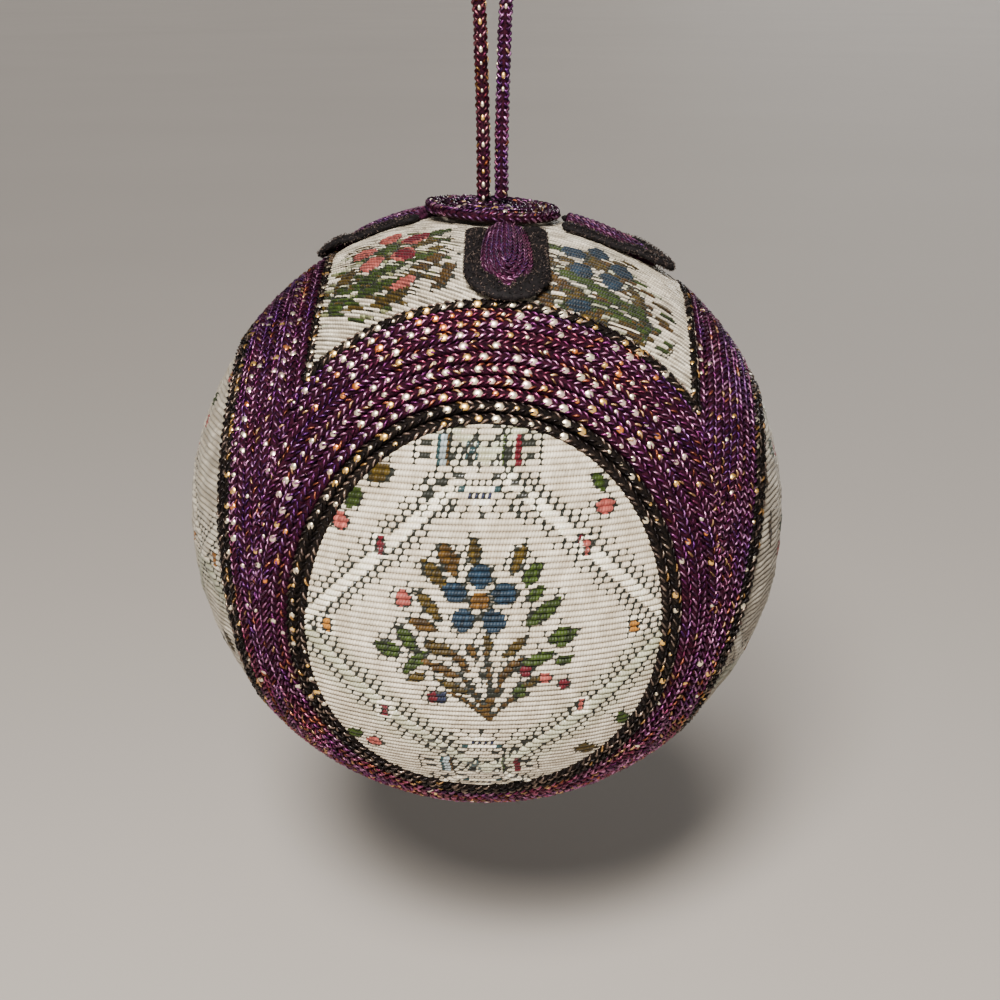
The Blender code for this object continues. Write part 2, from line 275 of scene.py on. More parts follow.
def tubes(centres, outs, radii, sides, flat=1.0):
    """Points and faces of closed tubes through rows of centres, an array of (tubes, stations, 3)."""
    along = unit(np.gradient(centres, axis=1))
    across = unit(np.cross(along, np.broadcast_to(outs, centres.shape)))
    up = np.cross(across, along)
    angles = math.tau * np.arange(sides) / sides
    ring = across[:, :, None] * np.cos(angles)[:, None] + up[:, :, None] * (np.sin(angles)[:, None] * flat)
    points = centres[:, :, None] + ring * np.broadcast_to(radii, centres.shape[:2])[:, :, None, None]
    grid = np.arange(points[..., 0].size).reshape(points.shape[:3])
    turned = np.roll(grid, -1, axis=2)
    walls = np.stack([grid[:, :-1], grid[:, 1:], turned[:, 1:], turned[:, :-1]], -1)
    first = np.stack([grid[:, 0, [0] * (sides - 2)], grid[:, 0, 1:-1], grid[:, 0, 2:]], -1)
    last = np.stack([grid[:, -1, [0] * (sides - 2)], grid[:, -1, 2:], grid[:, -1, 1:-1]], -1)
    return points, (walls, first, last)


def add_piece(name, mesh, node):
    piece = bpy.data.objects.new(name, mesh)
    bpy.context.scene.collection.objects.link(piece)
    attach(piece, "root")
    if node:
        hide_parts(node)
    return piece


# Finishes

class Finish:
    """A material with a Principled shader, and short ways to add nodes to it."""

    def __init__(self, name, **values):
        self.material = bpy.data.materials.new(name)
        self.material.use_nodes = True
        self.tree = self.material.node_tree
        self.shader = self.tree.nodes["Principled BSDF"]
        for key, value in values.items():
            self.shader.inputs[key.replace("_", " ")].default_value = value

    def node(self, kind, *inputs, **settings):
        made = self.tree.nodes.new(kind)
        for key, value in settings.items():
            setattr(made, key, value)
        for socket, value in zip(made.inputs, inputs):
            self.feed(socket, value)
        return made

    def feed(self, socket, value):
        if value is None:
            return
        if isinstance(value, bpy.types.NodeSocket):
            self.tree.links.new(value, socket)
        else:
            socket.default_value = value

    def math(self, operation, *values):
        return self.node("ShaderNodeMath", *values, operation=operation).outputs[0]

    def step(self, low, high, value):
        """Smooth step of a value from 0 at low to 1 at high."""
        ramp = self.node("ShaderNodeMapRange", value, low, high, 0.0, 1.0, interpolation_type="SMOOTHSTEP")
        return ramp.outputs[0]

    def mix(self, share, first, second, blend="MIX"):
        made = self.tree.nodes.new("ShaderNodeMix")
        made.data_type = "RGBA"
        made.blend_type = blend
        for name, value in (("Factor_Float", share), ("A_Color", first), ("B_Color", second)):
            socket = next(s for s in made.inputs if s.identifier == name)
            self.feed(socket, (*value, 1.0) if isinstance(value, (tuple, np.ndarray)) and len(value) == 3 else value)
        return next(s for s in made.outputs if s.identifier == "Result_Color")

    def attribute(self, name, output="Color"):
        return self.node("ShaderNodeAttribute", attribute_name=name).outputs[output]

    def noise(self, scale, detail=2.0, vector=None):
        made = self.node("ShaderNodeTexNoise")
        made.inputs["Scale"].default_value = scale
        made.inputs["Detail"].default_value = detail
        self.feed(made.inputs["Vector"], vector or self.place())
        return made.outputs[0]

    def cells(self, scale):
        made = self.node("ShaderNodeTexVoronoi")
        made.inputs["Scale"].default_value = scale
        self.feed(made.inputs["Vector"], self.place())
        return made.outputs

    def place(self):
        return self.node("ShaderNodeTexCoord").outputs["Object"]

    def bump(self, height, distance, strength=1.0):
        made = self.node("ShaderNodeBump")
        made.inputs["Strength"].default_value = strength
        made.inputs["Distance"].default_value = distance
        self.feed(made.inputs["Height"], height)
        self.feed(self.shader.inputs["Normal"], made.outputs[0])

    def set(self, name, value):
        self.feed(self.shader.inputs[name], value)


def thread_finish(name, metallic, roughness, sparkle):
    """Metallic thread: its own tint, broken into small bright and dull flats of foil."""
    finish = Finish(name, Metallic=metallic, Specular_IOR_Level=0.5)
    tint = finish.attribute("thread")
    flats = finish.cells(5200.0)
    tone = finish.node("ShaderNodeSeparateColor", flats["Color"]).outputs[0]
    share = finish.step(0.15, 0.95, tone)
    dull = finish.mix(1.0, tint, (0.5, 0.45, 0.5), "MULTIPLY")
    finish.set("Base Color", finish.mix(share, dull, tint))
    finish.set("Roughness", finish.math("MULTIPLY_ADD", tone, -sparkle, roughness + sparkle / 2))
    height = finish.math("ADD", finish.math("MULTIPLY", tone, 0.6), finish.noise(9000.0))
    finish.bump(height, 0.00004, 0.6)
    return finish.material


def foil_finish(name):
    """Bright turns of gold and silver foil."""
    finish = Finish(name, Metallic=0.9, Specular_IOR_Level=1.0)
    tint = finish.attribute("thread")
    tone = finish.noise(3000.0)
    finish.set("Base Color", finish.mix(finish.step(0.2, 0.5, tone), (1.0, 0.88, 0.66), tint))
    finish.set("Roughness", finish.math("MULTIPLY_ADD", tone, 0.14, 0.24))
    finish.bump(tone, 0.00003, 0.3)
    return finish.material


def core_finish(name, tint, shade):
    """Inside of the cord, seen between its stitches: its dark tints are painted shade between the stitches."""
    finish = Finish(name, Roughness=0.8, Specular_IOR_Level=0.05)
    tone = finish.noise(2600.0, 3.0)
    finish.set("Base Color", finish.mix(finish.step(0.35, 0.7, tone), tuple(shade), tuple(tint)))
    finish.bump(tone, 0.00012, 0.8)
    return finish.material


def brocade_finish(name, gloss, roughness):
    """Woven floats across plump ribs: tints come with the mesh, the fine threads from here."""
    finish = Finish(name, Specular_IOR_Level=gloss, Sheen_Weight=0.06, Sheen_Roughness=0.4)
    tint = finish.attribute("thread")
    marks = finish.node("ShaderNodeSeparateColor", finish.attribute("marks")).outputs
    gap = marks[0]
    satin = marks[1]
    figured = marks[2]
    weave = finish.node("ShaderNodeUVMap", uv_map="weave").outputs[0]
    x, y, _ = finish.node("ShaderNodeSeparateXYZ", weave).outputs
    share = finish.math("FRACT", y)
    # Painted shade between ribs, and between the slanted floats within a rib
    middle = finish.math("ABSOLUTE", finish.math("MULTIPLY_ADD", share, 2.0, -1.0))
    groove = finish.step(0.30, 0.95, middle)
    float_share = finish.math("FRACT", x)
    side = finish.math("ABSOLUTE", finish.math("MULTIPLY_ADD", float_share, 2.0, -1.0))
    between = finish.step(0.5, 1.0, side)
    dash = finish.math("MULTIPLY", groove, finish.math("MULTIPLY_ADD", between, 0.62, 0.38))
    slit = finish.math("MULTIPLY", between, finish.math("MULTIPLY_ADD", figured, 0.05, 0.46))
    strong = finish.math("MULTIPLY_ADD", satin, -0.5, 0.98)
    strong = finish.math("MULTIPLY", strong, finish.math("MULTIPLY_ADD", figured, -0.55, 1.0))
    shade = finish.math("MAXIMUM", finish.math("MULTIPLY", dash, strong), slit)
    uneven = finish.noise(420.0, 3.0)
    toned = finish.mix(finish.step(0.3, 0.75, uneven), (0.76, 0.72, 0.66), (1.10, 1.09, 1.06))
    cloth = finish.mix(1.0, tint, toned, "MULTIPLY")
    groove_shade_tint = finish.mix(1.0, cloth, (0.26, 0.215, 0.17), "MULTIPLY")
    woven = finish.mix(shade, cloth, groove_shade_tint)
    # Dark lines along the grooves: the net of dark stitches on the patches, and painted shade in the grooves of the
    # end cloths
    net = finish.math("MULTIPLY", finish.attribute("marks", "Alpha"), finish.step(0.66, 0.92, middle))
    # Slots are wider at the grooves, which rounds the ends of the floats
    least = finish.math("MULTIPLY_ADD", finish.math("MULTIPLY", middle, middle), -0.58, 0.66)
    opening = finish.step(least, finish.math("ADD", least, 0.24), gap)
    slot = finish.math("MAXIMUM", opening, finish.math("MULTIPLY", net, 0.75))
    finish.set("Base Color", finish.mix(slot, woven, (0.010, 0.011, 0.007)))
    finish.set("Roughness", finish.math("MULTIPLY_ADD", uneven, 0.12, roughness))
    crown = finish.math("SUBTRACT", 1.0, finish.math("MULTIPLY", middle, middle))
    roundness = finish.math("SUBTRACT", 1.0, finish.math("MULTIPLY", side, side))
    height = finish.math("MULTIPLY_ADD", roundness, 0.7, crown)
    height = finish.math("SUBTRACT", height, finish.math("MULTIPLY", slot, 0.9))
    fine = finish.noise(7000.0)
    finish.bump(finish.math("MULTIPLY_ADD", fine, 0.35, height), 0.00007, 0.8)
    return finish.material


def fuzz_finish(name):
    """Fibres in their own tints, dark in patches."""
    finish = Finish(name, Roughness=0.8, Specular_IOR_Level=0.2)
    tint = finish.attribute("thread")
    dark = finish.mix(1.0, tint, (0.35, 0.35, 0.35), "MULTIPLY")
    finish.set("Base Color", finish.mix(finish.step(0.35, 0.65, finish.noise(1800.0)), dark, tint))
    finish.bump(finish.noise(6000.0), 0.00005, 0.6)
    return finish.material


def padding_finish(name):
    """Dark padded skin of the ball, of which only hair-wide slits show between the cords."""
    finish = Finish(name, Roughness=0.9)
    tone = finish.noise(900.0, 4.0)
    finish.set("Base Color", finish.mix(tone, (0.012, 0.006, 0.010), (0.05, 0.03, 0.04)))
    finish.bump(tone, 0.0002, 0.5)
    return finish.material


# Knitted cord: a dark core, and stitches of two legs each in a V along every wale

# share of the stitch's pitch, share of the cord's width across and out, share of the thread's thickness
LEG = np.array([
    (-0.16, 0.05, 0.24, 0.70),
    (0.10, 0.14, 0.41, 1.05),
    (0.38, 0.245, 0.43, 1.15),
    (0.68, 0.345, 0.31, 1.00),
    (0.98, 0.39, 0.06, 0.65),
])
# painted shade along a leg, dark at its ends where it goes under its neighbours, with a painted highlight on its
# crest
LEG_SHADES = np.array([0.15, 0.95, 1.25, 0.75, 0.12])
LEG_SIDES = 4
LEG_THICK = 0.082
STITCH_PITCH = 0.00098
CORE_SHARE = 0.455
CORE_SIDES = 6
CORE_STEP = 0.0012
FLECK_SIZE = 0.27
FLECK_TALL = 0.06
FLECK_OUT = 0.43

PURPLE = srgb(130, 56, 118)
LAVENDER = srgb(226, 156, 200)
VIOLET = srgb(104, 58, 152)
PLUM = srgb(178, 76, 84)
RUST = srgb(190, 110, 80)
COPPER = srgb(240, 190, 134)
INK = srgb(34, 27, 27)
SMOKE = srgb(166, 144, 126)
BRASS = srgb(196, 150, 84)
GLINT = srgb(255, 240, 208)
GOLD = srgb(255, 202, 108)
ROSE = srgb(255, 222, 206)
AMBER_FOIL = srgb(255, 150, 70)


def wander(rng, count, spacing):
    """Smooth random values from -1 to 1 along a row of stitches, with a change every few stitches."""
    knots = rng.uniform(-1.0, 1.0, int(count / spacing) + 3)
    return np.interp(np.arange(count) / spacing + rng.uniform(), np.arange(len(knots)), knots)


def purple_tints(rng, count, warmth, metal=0.05):
    """Tints of (stitches, legs), which drift along the cord."""
    drift = wander(rng, count, 5.0)[:, None]
    spark = rng.uniform(size=(count, 2))
    tints = PURPLE + (LAVENDER - PURPLE) * smooth(0.1, 0.95, spark)[..., None]
    cool = smooth(0.1, 0.9, drift - warmth)
    tints = tints + (VIOLET - tints) * (0.6 * cool)[..., None]
    warm = smooth(0.15, 0.85, warmth - drift)
    tints = tints + (PLUM - tints) * (0.60 * warm)[..., None]
    rare = (rng.uniform(size=(count, 2)) < metal * (1.0 + 2.5 * warm))[..., None]
    tints = np.where(rare, np.where(rng.uniform(size=(count, 2, 1)) < 0.5, RUST, COPPER), tints)
    return tints * (0.28 + 1.1 * rng.uniform(size=(count, 2, 1)) ** 1.4)


def black_tints(rng, count, warmth):
    spark = rng.uniform(size=(count, 2))
    tints = INK + (SMOKE - INK) * smooth(0.4, 1.0, spark)[..., None]
    tints = np.where((rng.uniform(size=(count, 2)) < 0.05)[..., None], BRASS, tints)
    return tints * rng.uniform(0.7, 1.2, (count, 2, 1))


def add_core(batch, route, width, finish, colour, sink=0.0, bumps=0.0):
    """Core of a cord; bumps is the distance between its swellings."""
    steps = max(int(route.length / (bumps / 4 if bumps else CORE_STEP)), 3)
    if route.closed:
        distances = np.linspace(0.0, route.length, steps, endpoint=False)
    else:
        distances = np.linspace(0.0, route.length, steps)
    points, along, across, out = route.at(distances)
    angles = math.tau * (np.arange(CORE_SIDES) + 0.5) / CORE_SIDES
    ring = across[:, None] * np.cos(angles)[:, None] + out[:, None] * np.sin(angles)[:, None]
    radii = np.full((steps, 1, 1), width * CORE_SHARE)
    if bumps:
        radii = radii * (1.0 + 0.09 * np.cos(math.tau * distances / bumps))[:, None, None]
    shape = (points - out * sink)[:, None] + ring * radii
    grid = np.arange(steps * CORE_SIDES).reshape(steps, CORE_SIDES)
    turned = np.roll(grid, -1, axis=1)
    if route.closed:
        ahead = np.roll(grid, -1, axis=0)
        turned_ahead = np.roll(turned, -1, axis=0)
        faces = [np.stack([grid, ahead, turned_ahead, turned], -1)]
    else:
        faces = [np.stack([grid[:-1], grid[1:], turned[1:], turned[:-1]], -1), grid[:1], grid[-1:, ::-1]]
    batch.add(shape, faces, colour, finish)


def add_legs(batch, route, starts, pitch, width, tints, rng, roll=0.0, heading=1.0, finish=0, shape=LEG):
    """Two legs a stitch, in a wale at an angle (radians) round the cord from its outer side."""
    count = len(starts)
    signs = np.array([-1.0, 1.0])[:, None]
    sway = rng.uniform(0.84, 1.14, (count, 2, 1))
    lift = rng.uniform(0.90, 1.06, (count, 2, 1))
    slide = rng.uniform(-0.10, 0.10, (count, 2, 1))
    distances = starts[:, None, None] + heading * pitch * (shape[:, 0] + slide)
    points, _, across, out = route.at(distances)
    aside = signs * shape[:, 1] * sway * width
    rise = shape[:, 2] * lift * width
    across_turned = across * math.cos(roll) - out * math.sin(roll)
    out_turned = across * math.sin(roll) + out * math.cos(roll)
    centres = points + across_turned * aside[..., None] + out_turned * rise[..., None]
    stations = len(shape)
    centres = centres.reshape(count * 2, stations, 3)
    ways = out_turned.reshape(count * 2, stations, 3)
    radii = width * LEG_THICK * shape[:, 3] * rng.uniform(0.85, 1.15, (count * 2, 1))
    shapes, faces = tubes(centres, ways, radii, LEG_SIDES)
    # Painted shade at the ends of every leg and a painted highlight on its crest, on top of its tint
    shades = tints.reshape(count * 2, 1, 1, 3) * LEG_SHADES[:, None, None]
    shades = shades * rng.uniform(0.7, 1.2, (count * 2, stations, 1, 1))
    batch.add(shapes, faces, shades, finish)


def add_flecks(batch, centres, along, out, size, tall, tints, finish, longer=1.2):
    """Small six-sided domes of foil."""
    sides = 6
    across = np.cross(along, out)
    angles = math.tau * np.arange(sides) / sides
    flat = along[:, None] * (longer * np.cos(angles))[:, None] + across[:, None] * np.sin(angles)[:, None]
    rings = []
    for reach, height in ((1.0, -0.4), (0.78, 0.55)):
        rings.append(centres[:, None] + flat * (size * reach)[:, None, None] + (out * tall * height)[:, None])
    top = (centres + out * tall)[:, None]
    points = np.concatenate(rings + [top], 1)
    first = np.arange(len(centres))[:, None] * (2 * sides + 1)
    k = np.arange(sides)
    after = (k + 1) % sides
    walls = np.stack([first + k, first + k + sides, first + after + sides, first + after], -1)
    roof = np.stack([first + k + sides, first + 2 * sides + 0 * k, first + after + sides], -1)
    floor = np.stack([first + after * 0 + 0 * k, first + k, first + after], -1)[:, 1:-1]
    batch.add(points, (walls, roof, floor), tints[:, None], finish)


def even_starts(route, pitch, rng):
    """Even places of stitches, which leave room for the last one's legs, and their pitch."""
    if route.closed:
        count = round(route.length / pitch)
        pitch = route.length / count
        return np.arange(count) * pitch, pitch
    count = max(round(route.length / pitch), 1)
    pitch = route.length / count
    return (np.arange(count) + 0.12) * pitch, pitch


def light_share(points):
    """Painted light: how squarely places face the lights from the upper front, and how near they lie to the lit
    crown of the ball's arch, from 0 to 1.
    """
    ways = unit(points - BALL_CENTRE)
    front = smooth(0.3, 0.95, ways @ unit(np.array([-0.12, -0.72, 0.68])))
    crown = smooth(0.80, 0.99, ways @ unit(np.array([0.05, -0.66, 0.75])))
    return front, crown


def add_row(batch, route, rng, kind, width=CORD_THICK, tone=1.0):
    starts, pitch = even_starts(route, STITCH_PITCH * rng.uniform(0.95, 1.05), rng)
    if len(starts) < 1:
        return
    heading = 1.0 if rng.uniform() < 0.6 else -1.0
    if heading < 0:
        starts = starts + pitch * 0.7
    add_core(batch, route, width, 1, np.zeros(3), sink=0.00006)
    points, along, across, out = route.at(starts)
    low = smooth(-0.1, 0.75, -(unit(points - BALL_CENTRE) @ UP))
    facing_light, crown = light_share(points)
    if kind == "purple":
        tints = purple_tints(rng, len(starts), (0.75 * low - 0.25 + 0.70 * crown)[:, None], 0.08)
    else:
        tints = black_tints(rng, len(starts), 0.0)
    # Painted light: tints are brighter where the rows face the lights and in the lit crown, and somewhat brighter on
    # the lower rows
    tints = tints * (tone * (0.57 + 0.22 * facing_light + 0.55 * crown + 0.22 * low))[:, None, None]
    add_legs(batch, route, starts, pitch, width, tints, rng, heading=heading)
    run = wander(rng, len(starts), 11.0)
    dice = rng.uniform(size=len(starts))
    # Painted highlight: bright foil flecks are likelier where the rows face the lights and in the lit crown, and
    # rarer on the lower rows
    if kind == "purple":
        runs = smooth(0.0, 0.12, run - 0.80 + 0.80 * facing_light ** 2)
        chance = 0.04 + 0.20 * facing_light + 0.40 * crown + 0.9 * runs * (1.0 - 0.9 * low)
    elif kind == "bright":
        chance = 0.30 + 0.6 * facing_light - 0.30 * low
    else:
        chance = 0.08 + 0.6 * smooth(0.0, 0.1, run - 0.6 + 0.6 * crown)
    shown = (dice < chance) & (np.arange(len(starts)) % 2 == 0)
    pick = rng.uniform(size=(len(starts), 1))
    tones = np.where(pick < 0.2, GOLD, np.where(pick < 0.3, AMBER_FOIL, np.where(pick < 0.6, ROSE, GLINT)))
    if kind != "purple":
        tones = np.where(pick < 0.45, GOLD, GLINT)
    if shown.any():
        roll = np.arctan2(across @ FRONT_WAY, np.maximum(out @ FRONT_WAY, 0.2))
        roll = np.where(out @ FRONT_WAY > 0.1, np.clip(roll, -0.65, 0.65), 0.0) + rng.uniform(-0.1, 0.1, len(starts))
        out = out * np.cos(roll)[:, None] + across * np.sin(roll)[:, None]
        centres = points + along * (heading * 0.06 * pitch) + out * (FLECK_OUT * width)
        # Painted highlight: flecks are larger in the lit crown
        size = width * FLECK_SIZE * rng.uniform(0.35, 1.2, len(starts)) ** 0.6 * (1.0 + 0.2 * crown)
        tall = width * FLECK_TALL
        add_flecks(batch, centres[shown], along[shown], out[shown], size[shown], tall, tones[shown], 2)


def row_routes(side, row):
    """Runs of a row's centreline between the mitres beside its patch."""
    return cut_runs(side, row, np.linspace(0.0, math.tau, 1440, endpoint=False), True)


def cut_runs(side, row, angles, closed):
    places = step_from(side, OVAL_LATITUDE, angles, oval(angles) + (row + 0.5) * ROW_PITCH)
    longitude = np.degrees(np.arctan2(places[:, 0], -places[:, 1])) - side
    beside = (longitude + 180.0) % 360.0 - 180.0
    kept = np.abs(beside) < 45.8
    points = places @ PATTERN.T * (SKIN_RADIUS + CORD_THICK / 2)
    outs = unit(points)
    points = points + BALL_CENTRE
    if kept.all():
        return [Route(points, outs, closed)]
    if closed:
        turn = int(np.argmin(kept))
        kept, points, outs = (np.roll(values, -turn, axis=0) for values in (kept, points, outs))
    edges = np.flatnonzero(np.diff(np.concatenate([[False], kept, [False]]).astype(int)))
    runs = []
    for start, end in edges.reshape(-1, 2):
        if end - start > 8:
            runs.append(Route(points[start:end], outs[start:end]))
    return runs


def make_rings(finishes):
    purple = [finishes["purple_thread"], finishes["purple_core"], finishes["foil"]]
    black = [finishes["black_thread"], finishes["black_core"], finishes["foil"]]
    for number, (label, side) in enumerate(SIDES):
        rng = np.random.default_rng(100 + number)
        batch = Batch()
        for row in range(INNER_ROWS):
            for route in row_routes(side, row):
                add_row(batch, route, rng, "bright" if row == 1 else "black")
        add_piece("knit_inner_" + label, batch.mesh("knit_inner_" + label, black), "inner_" + label)
        batch = Batch()
        for row in range(INNER_ROWS, INNER_ROWS + PURPLE_ROWS):
            for route in row_routes(side, row):
                add_row(batch, route, rng, "purple")
                strays = int(route.length / 0.004)
                tint = (0.5 * LAVENDER + 0.5 * COPPER) * 0.5
                add_hairs(batch, route, strays, CORD_THICK * 0.40, 0.0008, 0.00003, rng, tint, 0)
        add_piece("knit_purple_" + label, batch.mesh("knit_purple_" + label, purple), "purple_" + label)
        for where, middle, half in OUTER_ARCS:
            batch = Batch()
            angles = np.radians(np.linspace(middle - half, middle + half, 400))
            for route in cut_runs(side, INNER_ROWS + PURPLE_ROWS, angles, False):
                add_row(batch, route, rng, "bright" if where == "top" else "black")
            name = "outer_%s_%s" % (where, label)
            add_piece("knit_" + name, batch.mesh("knit_" + name, black), name)


# Hanging loop

def loop_points():
    """The points of the loop's solid, at even distances."""
    up = [(-half, 0.0, height) for half, height in LOOP_ROUTE]
    down = [(half, 0.0, height) for half, height in reversed(LOOP_ROUTE)]
    dense = smooth_through(np.array(up + [(0.0, 0.0, LOOP_TOP)] + down))
    dense = dense + np.array([HANG_OFFSET, 0.0, 0.0]) + BALL_CENTRE
    travelled = np.concatenate([[0.0], np.cumsum(np.linalg.norm(np.diff(dense, axis=0), axis=1))])
    count = round(travelled[-1] / LOOP_SPACING)
    even = np.linspace(0.0, travelled[-1], count + 1)
    return np.stack([np.interp(even, travelled, dense[:, k]) for k in range(3)], -1)


def make_loop(finishes):
    """Doubled cord with four wales round it; it sinks into the cap's middle."""
    rng = np.random.default_rng(7)
    points = loop_points()
    outs = np.tile(np.array([0.0, -1.0, 0.0]), (len(points), 1))
    close = smooth_through(points, 6)
    route = Route(close, np.tile(outs[0], (len(close), 1)))
    batch = Batch()
    bump = 0.0017
    add_core(batch, route, LOOP_CORD, 1, np.zeros(3), bumps=bump)
    pitch = bump / 2
    count = int(route.length / pitch)
    for wale in range(4):
        starts = (np.arange(count) + 0.05 + 0.5 * (wale % 2)) * pitch
        where, along, across, out = route.at(starts)
        # The left strand is browner and has more foil than the right one
        left = (where[:, 0] < 0.0)[:, None, None]
        tints = purple_tints(rng, count, np.full((count, 1), 0.15))
        tints = tints * np.where(left, np.array([0.54, 0.46, 0.30]), np.array([0.64, 0.66, 0.76]))
        add_legs(batch, route, starts, pitch, LOOP_CORD * 0.95, tints, rng, roll=wale * math.pi / 2)
        if wale == 3:
            continue
        angle = wale * math.pi / 2
        way = across * math.sin(angle) + out * math.cos(angle)
        chance = np.where(left[:, 0, 0], 0.9, 0.25)
        shown = (rng.uniform(size=count) < chance) & (np.arange(count) % 2 == 0)
        centres = where + way * (0.46 * LOOP_CORD)
        size = LOOP_CORD * 0.13 * rng.uniform(0.6, 1.2, count)
        tones = np.where(rng.uniform(size=(count, 1)) < 0.3, GOLD, GLINT)
        tall = LOOP_CORD * 0.06
        add_flecks(batch, centres[shown], along[shown], way[shown], size[shown], tall, tones[shown], 2, 1.7)
    materials = [finishes["purple_thread"], finishes["purple_core"], finishes["foil"]]
    piece = add_piece("hanging_loop", batch.mesh("hanging_loop", materials), "loop")


# Cap

def cap_route(first_radius, last_radius, turns, rise):
    """Coil on the dished disc, which leans with the pattern; every turn steps out at its end."""
    share = np.linspace(0.0, turns, int(140 * turns))
    step = (last_radius - first_radius) / (math.ceil(turns) - 1)
    radius = first_radius + step * (np.floor(share) + smooth(0.72, 1.0, share % 1.0))
    radius = np.minimum(radius, last_radius)
    angles = math.tau * share - 2.3
    height = rise - CAP_SAG * (radius / CAP_RADIUS) ** 2
    points = np.stack([radius * np.cos(angles), radius * np.sin(angles), height], -1)
    lean = turn_about_y(CAP_LEAN)
    outs = np.tile(UP, (len(points), 1))
    return Route(points @ lean.T + BALL_CENTRE + np.array([HANG_OFFSET, 0.0, CAP_BASE]), outs @ lean.T)


def make_cap(finishes):
    rng = np.random.default_rng(21)
    batch = Batch()
    width = CAP_RADIUS / (CAP_TURNS + 0.1)
    inner = width * 0.45
    route = cap_route(inner, CAP_RADIUS - width * 0.48, CAP_TURNS, CORD_THICK / 2)
    add_row(batch, route, rng, "purple", CORD_THICK, 0.50)
    # The rim shows a second wale on its outer side
    starts, pitch = even_starts(route, STITCH_PITCH, rng)
    rim = starts[starts > route.length - math.tau * CAP_RADIUS]
    tints = purple_tints(rng, len(rim), np.full((len(rim), 1), 0.2)) * 0.55
    add_legs(batch, route, rim, pitch, CORD_THICK, tints, rng, roll=math.radians(75))
    materials = [finishes["purple_thread"], finishes["purple_core"], finishes["foil"]]
    add_piece("coiled_cap", batch.mesh("coiled_cap", materials), "cap")


# Petals

def petal_place(petal, across, along):
    _, longitude, latitude, lean = petal
    angle = np.arctan2(along, across) - math.radians(lean)
    return step_from(longitude, latitude, angle, in_degrees(np.hypot(across, along)))


def petal_top(petal, across):
    """How far along a petal the cap's rim lets it go."""
    alongs = np.linspace(0.0, PETAL_REACH, 800)
    places = petal_place(petal, np.full(len(alongs), across), alongs) * (CLOTH_FACE + GAP)
    clear = np.hypot(places[:, 0] - HANG_OFFSET, places[:, 1]) > CAP_RADIUS + 2 * GAP
    return alongs[np.argmin(clear) - 1]


def u_turn(half_width, tops, bend_height, steps=24):
    """Points (across, along) down the left leg, round a half circle and up the right leg."""
    left = np.stack([np.full(steps, -half_width), np.linspace(tops[0], bend_height, steps, endpoint=False)], -1)
    angles = math.pi * (1.0 + np.linspace(0.0, 1.0, steps))
    bend = np.stack([half_width * np.cos(angles), bend_height + half_width * np.sin(angles)], -1)
    right = np.stack([np.full(steps, half_width), np.linspace(bend_height, tops[1], steps + 1)[1:]], -1)
    return np.concatenate([left, bend, right])


def petal_route(petal, path, heights):
    places = petal_place(petal, path[:, 0], path[:, 1])
    return Route(places * heights[:, None] + BALL_CENTRE, places)


PETAL_WIDEST = 0.0050
PETAL_NARROW = 0.34
PETAL_EDGE = 0.0031


def petal_width(alongs, top):
    """Share of the full width at some distances from the tip: egg-shaped, narrower under the cap."""
    low = np.clip(1.0 - alongs / PETAL_WIDEST, 0.0, 1.0)
    high = np.clip((alongs - PETAL_WIDEST) / (top - PETAL_WIDEST), 0.0, 1.0)
    return np.sqrt(1.0 - low ** 2) * (1.0 - PETAL_NARROW * high ** 2)


def petal_path(share, top, steps=40):
    """Points (across, along) of a nested egg-shaped turn, down its left side and up its right."""
    bottom = PETAL_WIDEST * (1.0 - share)
    turn = 0.5 * (1.0 - np.cos(math.pi * np.linspace(0.0, 1.0, steps)))
    alongs = top + (bottom - top) * turn ** 0.75
    egg = petal_width((alongs - bottom) * (top / (top - bottom)), top)
    left = np.stack([-PETAL_EDGE * share * egg, alongs], -1)
    return np.concatenate([left, left[-2::-1] * np.array([-1.0, 1.0])])


def make_petals(finishes):
    for number, petal in enumerate(PETALS):
        label = petal[0]
        rng = np.random.default_rng(300 + number)
        top = petal_top(petal, 0.0)
        strands = 5
        strand = PETAL_EDGE / strands
        batch = Batch()
        for k in range(strands):
            share = (k + 0.55) / strands
            path = petal_path(share, top)
            crown = CORD_THICK - 0.0009 * share ** 2
            heights = np.full(len(path), CLOTH_FACE + GAP + crown - strand * 0.6)
            route = petal_route(petal, path, heights)
            add_core(batch, route, strand * 1.9, 1, np.zeros(3), sink=0.00025)
            pitch = 0.00074
            count = int(route.length / pitch)
            starts = (np.arange(count) + 0.1 + 0.3 * (k % 2)) * pitch
            alongs = np.interp(starts, route.travelled, path[:, 1])
            # Painted highlight: the strands are brighter near the petal's tip
            tip = smooth(0.0026, 0.0012, alongs)[:, None, None]
            dull = 0.38 + 0.5 * rng.uniform(size=(count, 1, 1)) ** 8 + 1.1 * tip
            tints = purple_tints(rng, count, np.full((count, 1), -0.2), 0.0) * dull
            add_legs(batch, route, starts, pitch, strand * 1.42, tints, rng)
        add_floor(batch, petal, top)
        materials = [finishes["petal_thread"], finishes["petal_core"], finishes["foil"]]
        add_piece("petal_coil_" + label, batch.mesh("petal_coil_" + label, materials), "petal_" + label)
        make_border(petal, top, rng, finishes)


def add_floor(batch, petal, top):
    """Base of a petal, under its strands."""
    path = petal_path(0.96, top, 14)
    places = petal_place(petal, path[:, 0], path[:, 1])
    low = places * (CLOTH_FACE + GAP) + BALL_CENTRE
    high = places * (CLOTH_FACE + GAP + CORD_THICK * 0.45) + BALL_CENTRE
    count = len(path)
    points = np.concatenate([low, high])
    k = np.arange(count)
    after = (k + 1) % count
    walls = np.stack([k, after, after + count, k + count], -1)
    pairs = np.arange(count // 2 - 1)
    mirrored = count - 1 - pairs
    lid = np.stack([pairs + count, pairs + 1 + count, mirrored - 1 + count, mirrored + count], -1)
    base = np.stack([mirrored, mirrored - 1, pairs + 1, pairs], -1)
    batch.add(points, (walls, lid, base), np.zeros(3), 1)


